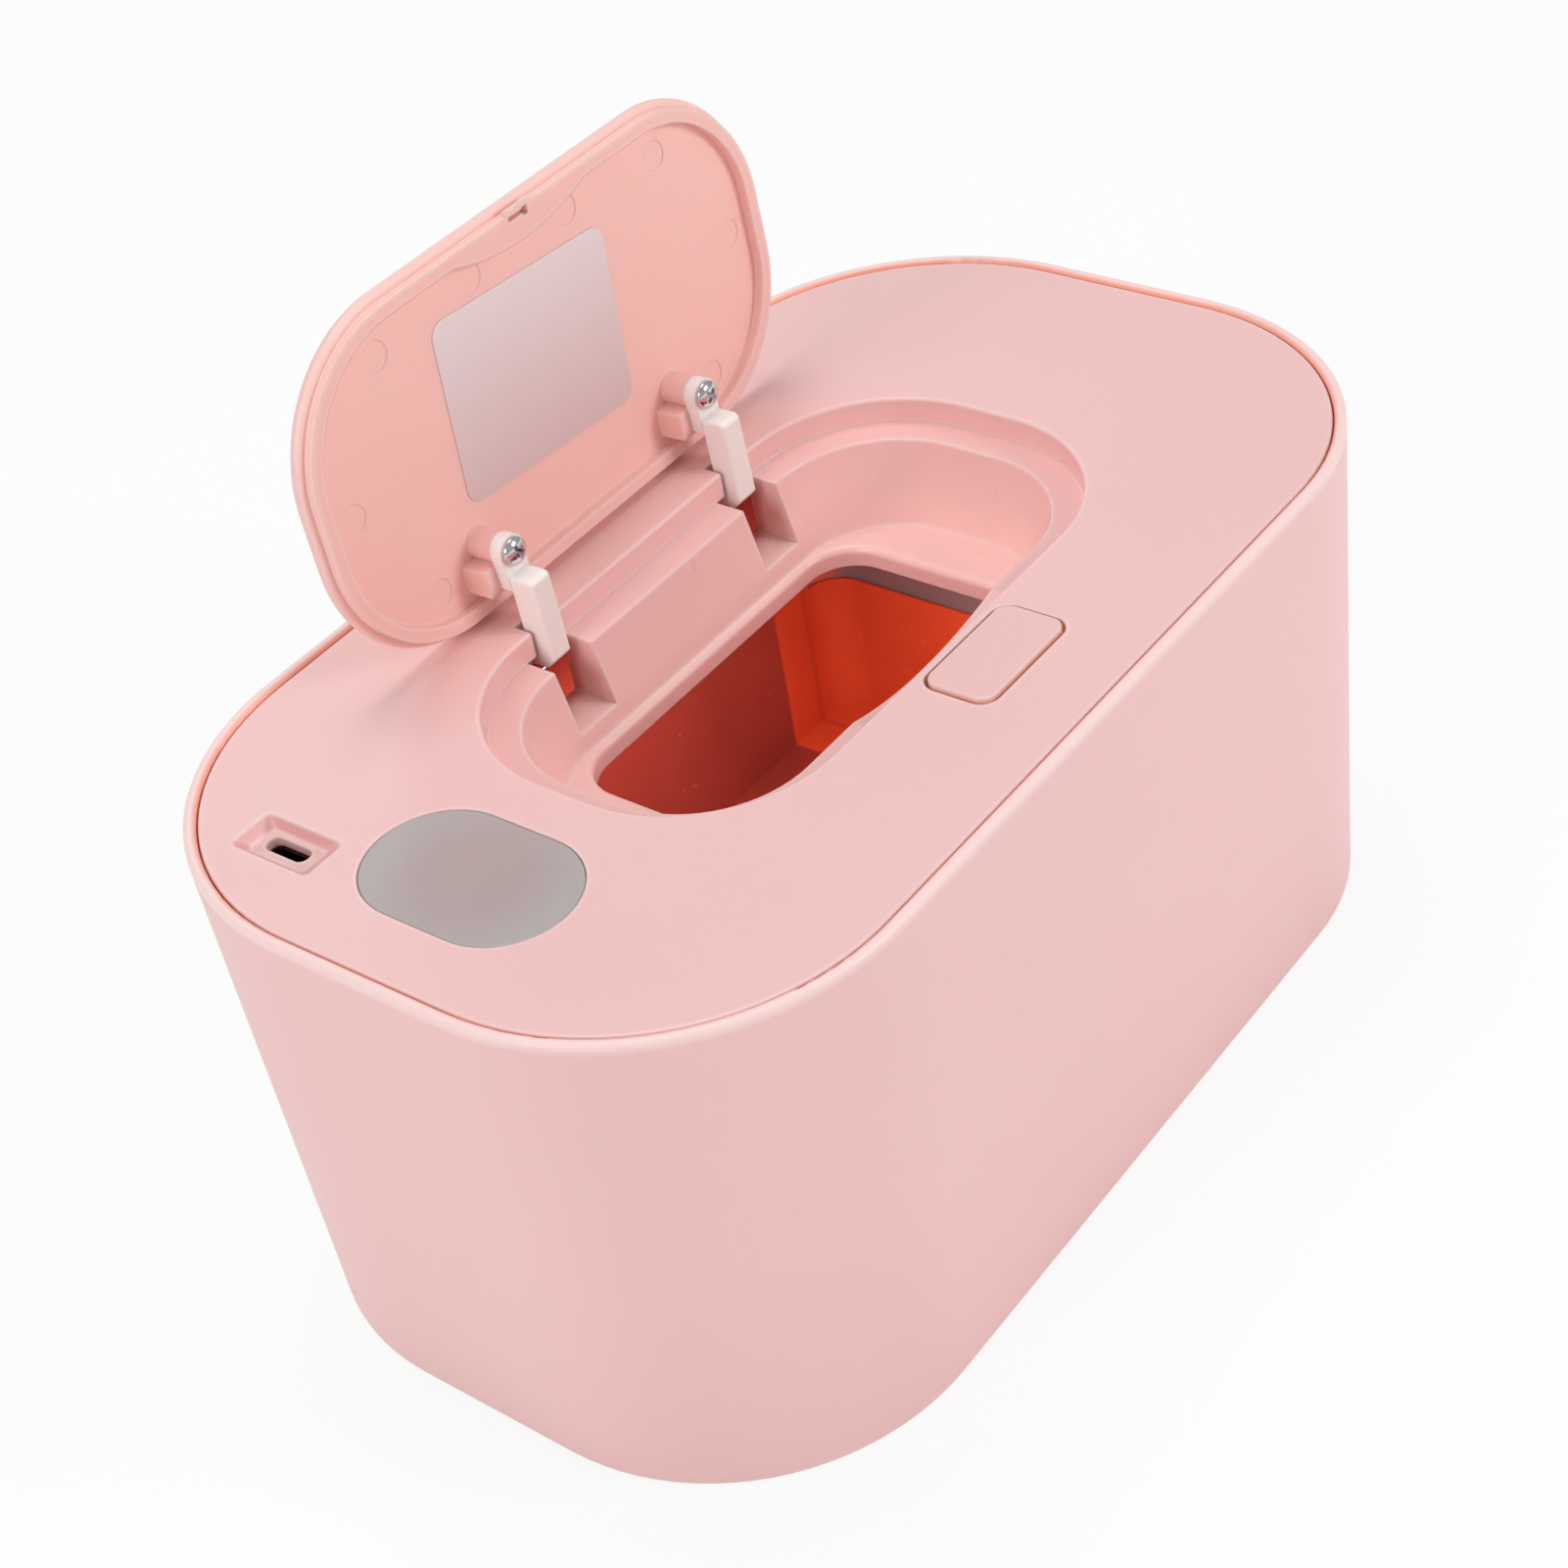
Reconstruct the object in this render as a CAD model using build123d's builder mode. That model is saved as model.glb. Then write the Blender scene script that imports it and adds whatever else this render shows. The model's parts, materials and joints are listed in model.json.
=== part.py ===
from build123d import *
from math import cos, radians, sin, sqrt
import os

os.makedirs("parts", exist_ok=True)

# Baby wipe warmer. Millimetres, +Z up, origin under the middle of the body on the table.
# X runs along the body, -Y is the user's side with the release button, +Y is the hinge side.
# The lid is drawn closed and written turned open about its hinge axis.

# ---- housing ----
body_length = 223.4
body_width = 133.8
body_height = 104.0
corner_radius = 49.8
body_draft = 1.75
wall = 2.2
rim_round = 1.0
hem_round = 0.4
shell_lift = 0.5
ledge_width = 1.8
ledge_thick = 2.0

# ---- top panel ----
panel_drop = 0.6
panel_thick = 2.2
panel_gap = 0.3
skin = 2.0
recess_margin_x = 50.3
recess_margin_y = 33.2
recess_end_flat = 11.0
recess_depth = 5.0
recess_round = 0.5
seat_width = 6.15
bowl_depth = 15.9
bowl_run_x = 4.9
bowl_run_y = 4.0
mouth_margin_x = 11.15
mouth_margin_y = 1.55
mouth_radius = 9.0
mouth_round = 1.4
collar_drop = 2.0

# ---- lid and gooseneck hinge ----
lid_gap = 1.2
lid_end_gap = 1.7
lid_thick = 2.2
lid_edge_round = 1.0
lip_inset = 1.4
lip_width = 2.5
lip_height = 2.0
land_half = 16.8
land_bulge = 3.0
open_angle = 93.4
hinge_back = 5.9
hinge_drop = 6.5
pin_radius = 1.25
pin_play = 0.05
eye_radius = 3.4
arm_spacing = 54.0
arm_bar = 5.0
arm_drop = 8.9
arm_tail = 1.4
arm_round = 0.7
arm_reach = 16.6
tab_thick = 2.5
tab_width = 6.0
tab_reach = 20.7
tab_length = 6.9
lid_boss_radius = 2.85
block_half = 5.2
block_gap = 2.2
block_length = 5.2
ear_thick = 2.0
ear_half = 2.5
side_play = 0.2
spring_room = 3.9
spring_wire = 0.7
spring_mean = 2.5
spring_leg = 5.0
spring_turns = 3.25
well_right = 4.2
well_left = 5.6
well_skin = 1.8
well_clear = 2.0
notch_back = 3.8
notch_play = 0.7
label_length = 43.7
label_front = 5.7
label_back = 2.15
label_radius = 3.0
label_turn = 4.0
label_x = -3.3
label_thick = 0.2
mark_radius = 2.7
mark_depth = 0.1

# ---- release button and latch ----
button_length = 24.3
button_width = 13.0
button_radius = 2.8
button_back = 2.3
button_proud = 0.6
button_gap = 0.65
button_wall = 1.6
button_round = 0.4
button_travel = 1.6
flange_width = 1.5
flange_thick = 1.45
latch_travel = 1.0
leg_inner = 5.0
leg_width = 3.0
leg_depth = 5.0
slider_thick = 2.5
slider_half = 10.0
slide_play = 0.05
hook_thick = 0.9
hook_half = 2.8
hook_nib = 0.8
hook_play = 0.2
catch_half = 3.0
catch_depth = 0.85
catch_thick = 0.65
slit_half = 2.4
slit_width = 0.8
slit_depth = 1.5
slit_inset = 0.5
scoop_half = 20.5
scoop_depth = 3.5

# ---- display and charging socket ----
window_length = 39.6
window_width = 26.3
window_margin = 27.55
window_lip = 1.5
window_gap = 0.1
board_thick = 1.6
board_drop = 8.6
board_left = 19.85
board_right = 14.15
board_half = 22.0
usb_margin = 19.45
usb_y = 33.0
usb_length = 17.6
usb_width = 9.1
usb_depth = 2.6
port_length = 8.94
port_width = 3.2
port_depth = 7.3

# ---- tank, heater, insulation ----
tank_margin_x = 37.7
tank_margin_y = 10.9
tank_radius = 8.0
tank_wall = 1.5
tank_lift = 8.0
tank_flange = 4.0
tank_flange_thick = 1.6
tank_rise = 1.5
tank_post_y = 35.0
film_thick = 0.5
film_gap = 0.4
film_height = 54.0
flap_height = 33.0
tab_half_width = 6.0
tab_below_top = 4.0
sensor_thick = 1.2
sensor_width = 4.0
sensor_length = 6.0
sensor_side = 12.0
sensor_height = 25.0
fuse_radius = 1.6
fuse_length = 8.0
sleeve_thick = 3.0
sleeve_gap = 0.3
sleeve_clear = 2.6

# ---- base and fasteners ----
base_thick = 2.5
base_lift = 1.0
base_gap = 0.25
foot_radius = 6.0
foot_thick = 2.0
foot_margin_x = 36.7
foot_margin_y = 24.9
boss_radius = 5.0
boss_seat = 2.0
boss_height = 16.5
boss_hole = 12.5
base_screw_bite = 11.5
post_radius = 3.0
screw_radius = 1.4
screw_head = 2.8
screw_head_thick = 1.8
small_screw = 1.0
small_head = 2.0
small_head_thick = 1.3
arm_head = 2.65
arm_head_thick = 1.7
screw_fit = 0.02
screw_clear = 0.2

# ---- derived levels and positions ----
half_length = body_length / 2
half_width = body_width / 2
corner_x = half_length - corner_radius
corner_y = half_width - corner_radius
hem_length = body_length - 2 * body_draft
hem_width = body_width - 2 * body_draft
hem_corner = corner_radius - body_draft
recess_length = body_length - 2 * recess_margin_x
recess_width = body_width - 2 * recess_margin_y
recess_radius = (recess_width - recess_end_flat) / 2
panel_top = body_height - panel_drop
panel_under = panel_top - panel_thick
seat_z = panel_top - recess_depth
bowl_floor = seat_z - bowl_depth
bowl_length = recess_length - 2 * seat_width
bowl_width = recess_width - 2 * seat_width
bowl_radius = recess_radius - seat_width
mouth_length = bowl_length - 2 * bowl_run_x - 2 * mouth_margin_x
mouth_width = bowl_width - 2 * bowl_run_y - 2 * mouth_margin_y
hinge_y = recess_width / 2 + hinge_back
hinge_z = panel_top - hinge_drop
hinge_axis = Axis((0, hinge_y, hinge_z), (1, 0, 0))
arm_xs = (-arm_spacing / 2, arm_spacing / 2)
bar_low = hinge_z - arm_drop
bar_top = bar_low + arm_bar
tab_top = bar_top + tab_thick
tab_y = hinge_y - tab_reach
tab_half = tab_width / 2
well_floor = bar_low - well_clear
well_back = recess_width / 2 + 0.5
notch_end = recess_width / 2 + notch_back
lid_top = panel_top
lid_under = lid_top - lid_thick
lip_under = lid_under - lip_height
lid_length = recess_length - 2 * lid_end_gap
lid_width = recess_width - 2 * lid_gap
lid_radius = recess_radius - lid_gap
button_y = -recess_width / 2 - button_back - button_width / 2
button_top = panel_top + button_proud
button_low = panel_under - 0.05 - flange_thick
window_x = -half_length + window_margin
usb_x = -half_length + usb_margin
tank_length = body_length - 2 * tank_margin_x
tank_width = body_width - 2 * tank_margin_y
tank_top = bowl_floor + tank_rise
tank_floor = tank_lift + tank_wall
flange_under = tank_top - tank_flange_thick
sleeve_top = flange_under - screw_head_thick - sleeve_clear
base_top = base_lift + base_thick
boss_low = base_top + boss_seat
boss_reach = hem_corner - wall - boss_radius - 0.5
boss_x = corner_x + boss_reach * cos(radians(45))
boss_y = corner_y + boss_reach * sin(radians(45))
lug_reach = corner_radius - wall - ledge_width - post_radius - 0.2
lug_x = corner_x + lug_reach * cos(radians(60))
lug_y = corner_y + lug_reach * sin(radians(60))
boss_points = [(sx * boss_x, sy * boss_y) for sx in (-1, 1) for sy in (-1, 1)]
lug_points = [(sx * lug_x, sy * lug_y) for sx in (-1, 1) for sy in (-1, 1)]
tank_post_x = tank_length / 2 + tank_wall + tank_flange - 0.5
tank_points = [(sx * tank_post_x, sy * tank_post_y) for sx in (-1, 1) for sy in (-1, 1)]
foot_x = half_length - foot_margin_x
foot_y = half_width - foot_margin_y
foot_points = [(sx * foot_x, sy * foot_y) for sx in (-1, 1) for sy in (-1, 1)]
lug_under = panel_under - 10.2
lug_top = panel_under - 3.2

# Latch levels: the slider runs in a bracket hung under the panel, below the scoop in the seat.
slider_low = seat_z - scoop_depth - skin - 0.4 - slider_thick
slider_top = slider_low + slider_thick
bracket_top = slider_low - 2.0
bracket_low = bracket_top - 1.5
leg_knee = slider_top + 3.5
leg_tip = slider_low + 0.5
leg_front = button_y - 3.1
leg_rear = leg_front + leg_depth
wedge = latch_travel / button_travel
lip_outer_y = -(lid_width / 2 - lip_inset)
lip_inner_y = lip_outer_y + lip_width
land_edge_y = lip_inner_y + land_bulge
hook_rear = lip_outer_y - hook_play - hook_nib
hook_front = hook_rear - hook_thick
catch_top = lip_under + catch_thick
nib_low = catch_top + 0.1
hook_top = lid_under - 0.2
slit_front = lip_outer_y + slit_inset
slot_half = hook_half + 0.6
bracket_rear_y = -recess_width / 2 - 4.1
bracket_front_y = bracket_rear_y - 16.2
bracket_x = button_length / 2 + flange_width + 3.35
label_low = land_edge_y + label_front
label_high = tab_y - lid_boss_radius - label_back
label_width = label_high - label_low
label_y = (label_low + label_high) / 2
bracket_points = [(sx * bracket_x, y) for sx in (-1, 1) for y in (bracket_rear_y, bracket_front_y)]

# Display and charging board levels.
board_top = panel_under - board_drop
board_low = board_top - board_thick
board_x0 = window_x - board_left
board_x1 = window_x + board_right
board_points = [(x, sy * (board_half - 2.5)) for x in (board_x0 + 2.5, board_x1 - 2.5) for sy in (-1, 1)]
port_x = usb_x + 1.05
port_y = usb_y + 1.3
port_top = panel_top - usb_depth - 2.0
port_low = port_top - port_depth
usb_board_low = port_low - board_thick
usb_board_x0 = port_x - 5.8
usb_board_x1 = port_x + 5.7
usb_board_y0 = port_y - 8.3
usb_board_y1 = port_y + 8.3
usb_points = [(port_x + 3.8, port_y - 6.1), (port_x + 3.8, port_y + 6.1)]


def slab(length, width, radius, low, high, mode=Mode.ADD, center=(0, 0)):
    """Block with rounded upright corners between two heights."""
    with BuildSketch(Plane.XY.offset(low)) as outline:
        with Locations(center):
            RectangleRounded(length, width, radius)
    extrude(outline.sketch, amount=high - low, mode=mode)


def box(x0, x1, y0, y1, low, high, mode=Mode.ADD):
    """Plain block from its six limits."""
    with BuildSketch(Plane.XY.offset(low)) as outline:
        with Locations(((x0 + x1) / 2, (y0 + y1) / 2)):
            Rectangle(abs(x1 - x0), abs(y1 - y0))
    extrude(outline.sketch, amount=high - low, mode=mode)


def posts(points, radius, low, high, mode=Mode.ADD):
    """Upright round posts or holes at a list of points."""
    with BuildSketch(Plane.XY.offset(low)) as outline:
        with Locations(*points):
            Circle(radius)
    extrude(outline.sketch, amount=high - low, mode=mode)


def tapered(length0, width0, radius0, low, length1, width1, radius1, high, mode=Mode.ADD,
            center0=(0, 0), center1=(0, 0)):
    """Rounded block whose outline changes evenly from one height to another."""
    with BuildSketch(Plane.XY.offset(low)) as first:
        with Locations(center0):
            RectangleRounded(length0, width0, radius0)
    with BuildSketch(Plane.XY.offset(high)) as second:
        with Locations(center1):
            RectangleRounded(length1, width1, radius1)
    loft([first.sketch.face(), second.sketch.face()], mode=mode)


def side_profile(points, x0, x1, mode=Mode.ADD):
    """Profile given in Y and Z, carried along X from x0 to x1."""
    with BuildSketch(Plane.YZ.offset(x0)) as outline:
        with BuildLine():
            Polyline(*points, close=True)
        make_face()
    extrude(outline.sketch, amount=x1 - x0, mode=mode)


def pan_screw(points, radius, head_radius, head_thick, seat, tip):
    """Screws driven upwards: head below the seat height, shank up to the tip."""
    posts(points, head_radius, seat - head_thick, seat)
    posts(points, radius, seat, tip)


def coil(base, direction, length, mean_radius, wire, turns):
    """Helical spring wire standing on a base point, with a six-sided wire section."""
    frame = Plane(origin=base, z_dir=direction)
    path = Helix(pitch=(length - wire) / turns, height=length - wire, radius=mean_radius)
    path = path.moved(Location(frame.offset(wire / 2)))
    with BuildSketch(Plane(origin=path @ 0, z_dir=path % 0)) as section:
        RegularPolygon(wire / 2, 6)
    sweep(section.sketch, path=path, is_frenet=True)


# =============================== outer shell ===============================
with BuildPart() as outer_shell:
    tapered(hem_length, hem_width, hem_corner, shell_lift,
            body_length, body_width, corner_radius, body_height)
    fillet(outer_shell.faces().sort_by(Axis.Z)[-1].edges(), rim_round)
    fillet(outer_shell.faces().sort_by(Axis.Z)[0].edges(), hem_round)
    tapered(hem_length - 2 * wall, hem_width - 2 * wall, hem_corner - wall, shell_lift,
            body_length - 2 * wall, body_width - 2 * wall, corner_radius - wall, body_height, Mode.SUBTRACT)
    fillet(outer_shell.faces().sort_by(Axis.Z)[-1].inner_wires()[0].edges(), rim_round)
    # Seat for the panel: a ring with a sloping underside, moulded on the inside of the wall.
    ring_low = panel_under - ledge_thick - ledge_width
    ring_inset = wall + body_draft * (body_height - ring_low) / (body_height - shell_lift)
    inner_length = body_length - 2 * ring_inset
    inner_width = body_width - 2 * ring_inset
    inner_radius = corner_radius - ring_inset
    with BuildSketch(Plane.XY.offset(ring_low)) as ring:
        RectangleRounded(inner_length + wall, inner_width + wall, inner_radius + wall / 2)
        RectangleRounded(inner_length - 2 * ledge_width, inner_width - 2 * ledge_width,
                         inner_radius - ledge_width, mode=Mode.SUBTRACT)
    extrude(amount=ledge_thick + ledge_width)
    tapered(inner_length, inner_width, inner_radius, ring_low,
            inner_length - 2 * ledge_width, inner_width - 2 * ledge_width,
            inner_radius - ledge_width, panel_under - ledge_thick, Mode.SUBTRACT)
    # Lugs that carry the panel screws and bosses for the base screws, bridged to the wall.
    for sx in (-1, 1):
        for sy in (-1, 1):
            for x, y, angle, radius, reach, low, high in (
                    (lug_x, lug_y, 60, post_radius + 1.0, corner_radius - wall / 2 - lug_reach,
                     lug_under, lug_top),
                    (boss_x, boss_y, 45, boss_radius - 1.0, hem_corner - wall / 2 - boss_reach,
                     boss_low, boss_low + boss_height)):
                turn = angle if sx * sy > 0 else -angle
                turn = turn if sx > 0 else turn + 180
                with BuildSketch(Plane.XY.offset(low)) as lug:
                    with Locations((sx * x, sy * y)):
                        Circle(radius)
                    with Locations(Location((sx * x, sy * y), turn)):
                        Rectangle(reach, 2 * radius - 0.8, align=(Align.MIN, Align.CENTER))
                extrude(amount=high - low)
    posts(lug_points, screw_radius + screw_clear, lug_under, lug_top, Mode.SUBTRACT)
    posts(boss_points, screw_radius + screw_fit, boss_low, boss_low + boss_hole, Mode.SUBTRACT)

# =============================== top panel ===============================
with BuildPart() as top_panel:
    inset = wall + panel_gap
    slab(body_length - 2 * inset, body_width - 2 * inset, corner_radius - inset, panel_under, panel_top)
    fillet(top_panel.faces().sort_by(Axis.Z)[-1].edges(), 0.4)
    # Outsides of the recess, the bowl, the collar, the hinge wells and the finger scoop.
    slab(recess_length + 2 * skin, recess_width + 2 * skin, recess_radius + skin, seat_z - skin, panel_under)
    slope_x = bowl_run_x / bowl_depth
    slope_y = bowl_run_y / bowl_depth
    under = bowl_floor - skin
    tapered(bowl_length + 2 * skin - 2 * slope_x * (bowl_depth + skin),
            bowl_width + 2 * skin - 2 * slope_y * (bowl_depth + skin),
            bowl_radius + skin - bowl_run_y, under,
            bowl_length + 2 * skin - 2 * slope_x * skin / 2, bowl_width + 2 * skin - 2 * slope_y * skin / 2,
            bowl_radius + skin, seat_z - skin / 2)
    slab(mouth_length + 2 * skin, mouth_width + 2 * skin, mouth_radius + skin, under - collar_drop, under)
    for x in arm_xs:
        box(x - well_left - well_skin, x + well_right + well_skin, bowl_width / 2 - bowl_run_y - 1.0,
            well_back, well_floor - well_skin, seat_z - skin)
    scoop_radius = (scoop_half ** 2 + scoop_depth ** 2) / (2 * scoop_depth)
    scoop_axis = seat_z - scoop_depth + scoop_radius
    front_wall = -recess_width / 2
    with BuildSketch(Plane.XZ.offset(-front_wall + skin)) as scoop_skin:
        with Locations((0, scoop_axis)):
            Circle(scoop_radius + skin)
        with Locations((0, seat_z)):
            Rectangle(4 * scoop_radius, 4 * scoop_radius, align=(Align.CENTER, Align.MIN), mode=Mode.SUBTRACT)
    extrude(amount=-(seat_width + skin))
    # Outside of the charging recess.
    slab(usb_width + 2.4, usb_length + 2.4, 3.0, panel_top - usb_depth - 1.8, panel_under,
         center=(usb_x, usb_y))
    # Posts for the shell lugs, the tank, the latch bracket and the two circuit boards.
    posts(lug_points, post_radius, lug_top, panel_under)
    posts(tank_points, 2.6, tank_top, panel_under)
    posts(bracket_points, 2.6, bracket_top + 1.0, panel_under)
    posts(board_points, 2.0, board_top, panel_under)
    posts(usb_points, 1.7, port_low, panel_under)
    # Recess with the seat for the lid, bowl and mouth.
    slab(recess_length, recess_width, recess_radius, seat_z, panel_top, Mode.SUBTRACT)
    fillet(top_panel.faces().sort_by(Axis.Z)[-1].inner_wires()[0].edges(), recess_round)
    tapered(bowl_length - 2 * bowl_run_x, bowl_width - 2 * bowl_run_y, bowl_radius - bowl_run_y, bowl_floor,
            bowl_length, bowl_width, bowl_radius, seat_z, Mode.SUBTRACT)
    slab(mouth_length, mouth_width, mouth_radius, under - collar_drop, bowl_floor, Mode.SUBTRACT)
    bowl_face = top_panel.faces().filter_by(Plane.XY).filter_by_position(
        Axis.Z, bowl_floor - 0.01, bowl_floor + 0.01)[0]
    fillet(bowl_face.inner_wires()[0].edges(), mouth_round)
    # Hinge wells, open at the back below the panel, with a narrow notch through its top.
    for x in arm_xs:
        box(x - well_left, x + well_right, bowl_width / 2 - bowl_run_y - 6.0, notch_end,
            well_floor, seat_z, Mode.SUBTRACT)
        box(x - arm_bar / 2 - notch_play, x + arm_bar / 2 + notch_play, bowl_width / 2, notch_end,
            seat_z, panel_top, Mode.SUBTRACT)
    # Finger scoop in the seat and the slot that lets the hook through it.
    with BuildSketch(Plane.XZ.offset(-front_wall)) as scoop:
        with Locations((0, scoop_axis)):
            Circle(scoop_radius)
        with Locations((0, seat_z)):
            Rectangle(4 * scoop_radius, 4 * scoop_radius, align=(Align.CENTER, Align.MIN), mode=Mode.SUBTRACT)
    extrude(amount=-(seat_width + 8.0), mode=Mode.SUBTRACT)
    box(-slot_half, slot_half, hook_front - latch_travel - 0.4, lip_outer_y + 0.1,
        slider_top, hook_top + 0.3, Mode.SUBTRACT)
    # Openings for the button, the display and the charging socket.
    slab(button_length + 2 * button_gap, button_width + 2 * button_gap, button_radius + button_gap,
         panel_under, panel_top, Mode.SUBTRACT, center=(0, button_y))
    with BuildSketch(Plane.XY.offset(panel_under)) as window_hole:
        with Locations(Location((window_x, 0), 90)):
            SlotOverall(window_length + 2 * window_gap, window_width + 2 * window_gap)
    extrude(amount=panel_thick, mode=Mode.SUBTRACT)
    tapered(port_width + 2.6, port_length + 3.4, 1.0, panel_top - usb_depth,
            usb_width, usb_length, 1.2, panel_top, Mode.SUBTRACT,
            center0=(port_x - 0.3, port_y - 0.2), center1=(usb_x, usb_y))
    slab(port_width + 0.2, port_length + 0.1, port_width / 2 - 0.05, port_top - 0.2,
         panel_top - usb_depth, Mode.SUBTRACT, center=(port_x, port_y))
    # Ears for the two hinge pins, hung from the underside behind each well.
    for x in arm_xs:
        for x0 in (x + arm_bar / 2 + side_play, x - arm_bar / 2 - spring_room - ear_thick):
            with BuildSketch(Plane.YZ.offset(x0)) as ear:
                with Locations((hinge_y, hinge_z)):
                    Circle(ear_half)
                with Locations((hinge_y, (hinge_z + panel_under) / 2)):
                    Rectangle(2 * ear_half, panel_under - hinge_z)
                with Locations((hinge_y, hinge_z)):
                    Circle(pin_radius, mode=Mode.SUBTRACT)
            extrude(amount=ear_thick)
    # Pilot holes.
    posts(lug_points, screw_radius + screw_fit, lug_top, panel_under + 0.6, Mode.SUBTRACT)
    posts(tank_points, screw_radius + screw_fit, tank_top, tank_top + 8.0, Mode.SUBTRACT)
    posts(bracket_points, small_screw + screw_fit, bracket_top + 1.0, bracket_top + 7.0, Mode.SUBTRACT)
    posts(board_points, small_screw + screw_fit, board_top, board_top + 5.0, Mode.SUBTRACT)
    posts(usb_points, small_screw - 0.2 + screw_fit, port_low, port_low + 5.0, Mode.SUBTRACT)

# =============================== lid ===============================
with BuildPart() as closed_lid:
    slab(lid_length, lid_width, lid_radius, lid_under, lid_top)
    fillet(closed_lid.faces().sort_by(Axis.Z)[-1].edges(), lid_edge_round - 0.1)
    fillet(closed_lid.faces().sort_by(Axis.Z)[0].edges(), lid_edge_round)
    with BuildSketch(Plane.XY.offset(lip_under)) as lip:
        RectangleRounded(lid_length - 2 * lip_inset, lid_width - 2 * lip_inset, lid_radius - lip_inset)
        RectangleRounded(lid_length - 2 * (lip_inset + lip_width), lid_width - 2 * (lip_inset + lip_width),
                         lid_radius - lip_inset - lip_width, mode=Mode.SUBTRACT)
    extrude(amount=lip_height)
    # Crescent land behind the front lip, with a slit in the lip and the catch for the hook before it.
    land_radius = (land_half ** 2 + land_bulge ** 2) / (2 * land_bulge)
    with BuildSketch(Plane.XY.offset(lip_under)) as land:
        with Locations((0, land_edge_y - land_radius)):
            Circle(land_radius)
        with Locations((0, lip_inner_y - 0.5)):
            Rectangle(3 * land_radius, 3 * land_radius, align=(Align.CENTER, Align.MAX), mode=Mode.SUBTRACT)
    extrude(amount=lip_height)
    box(-slit_half, slit_half, slit_front, slit_front + slit_width, lip_under, lip_under + slit_depth,
        Mode.SUBTRACT)
    box(slit_half - 1.2, slit_half, slit_front - 0.2, slit_front + slit_width + 0.5,
        lip_under, lip_under + slit_depth, Mode.SUBTRACT)
    box(-catch_half, catch_half, lip_outer_y - catch_depth, lip_outer_y + 0.1, lip_under, catch_top)
    # Bosses for the arms with a block behind each.
    for x in arm_xs:
        posts([(x, tab_y)], lid_boss_radius, tab_top, lid_under)
        block_y = tab_y + block_gap
        box(x - block_half, x + block_half, block_y, block_y + block_length, tab_top, lid_under)
    posts([(x, tab_y) for x in arm_xs], small_screw + screw_fit, tab_top, tab_top + 5.0, Mode.SUBTRACT)
    # Shallow round marks of the moulding pins on the inside.
    marks = [(sx * 0.305 * lid_length, -0.35 * lid_width) for sx in (-1, 1)]
    marks += [(sx * 0.425 * lid_length, 0.0) for sx in (-1, 1)]
    marks += [(sx * 0.32 * lid_length, 0.35 * lid_width) for sx in (-1, 1)]
    marks += [(sx * 0.105 * lid_length, -0.375 * lid_width) for sx in (-1, 1)]
    posts(marks, mark_radius, lid_under, lid_under + mark_depth, Mode.SUBTRACT)

with BuildPart() as lid:
    add(closed_lid.part.rotate(hinge_axis, -open_angle))

with BuildPart() as closed_label:
    with BuildSketch(Plane.XY.offset(lid_under - label_thick)) as label_outline:
        with Locations(Location((label_x, label_y), label_turn)):
            RectangleRounded(label_length, label_width, label_radius)
    extrude(amount=label_thick)

with BuildPart() as lid_label:
    add(closed_label.part.rotate(hinge_axis, -open_angle))


# =============================== hinge arms, pins, springs ===============================
def gooseneck(x):
    """One arm in the closed position: screw tab, low bar, riser and eye."""
    with BuildPart() as arm:
        with BuildSketch(Plane.XY.offset(bar_top)) as tab:
            with Locations((x, tab_y)):
                Circle(tab_half)
            with BuildLine():
                Polyline((x - tab_half, tab_y), (x + tab_half, tab_y), (x + arm_bar / 2, tab_y + tab_length),
                         (x - arm_bar / 2, tab_y + tab_length), close=True)
            make_face()
        extrude(amount=tab_thick)
        with BuildSketch(Plane.YZ.offset(x - arm_bar / 2)) as neck:
            with BuildLine():
                Polyline((hinge_y - arm_reach, bar_low), (hinge_y + arm_tail - 1.5, bar_low),
                         (hinge_y + arm_tail, bar_low + 1.5), (hinge_y + arm_tail, hinge_z),
                         (hinge_y - eye_radius, hinge_z), (hinge_y - eye_radius, bar_top),
                         (hinge_y - arm_reach, bar_top), close=True)
            make_face()
            with Locations((hinge_y, hinge_z)):
                Circle(eye_radius)
        extrude(amount=arm_bar)
        with BuildSketch(Plane.YZ.offset(x - arm_bar / 2)) as bore:
            with Locations((hinge_y, hinge_z)):
                Circle(pin_radius + pin_play)
        extrude(amount=arm_bar, mode=Mode.SUBTRACT)
        posts([(x, tab_y)], small_screw + screw_clear, bar_top, tab_top, Mode.SUBTRACT)
        fillet(arm.edges().filter_by(Axis.X).group_by(Axis.Z)[0].sort_by(Axis.Y)[0], 1.2)
        long_edges = arm.edges().filter_by(Axis.Y).filter_by(lambda edge: edge.length > arm_reach - 4.0)
        fillet(long_edges, arm_round)
    return arm.part.rotate(hinge_axis, -open_angle)


with BuildPart() as hinge_arm_left:
    add(gooseneck(arm_xs[0]))

with BuildPart() as hinge_arm_right:
    add(gooseneck(arm_xs[1]))

with BuildPart() as closed_screws:
    pan_screw([(x, tab_y) for x in arm_xs], small_screw, arm_head, arm_head_thick, bar_top, tab_top + 4.5)
    heads = closed_screws.faces().filter_by(Plane.XY).group_by(Axis.Z)[0]
    fillet(heads.edges(), 1.0)

with BuildPart() as arm_screws:
    add(closed_screws.part.rotate(hinge_axis, -open_angle))


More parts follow.
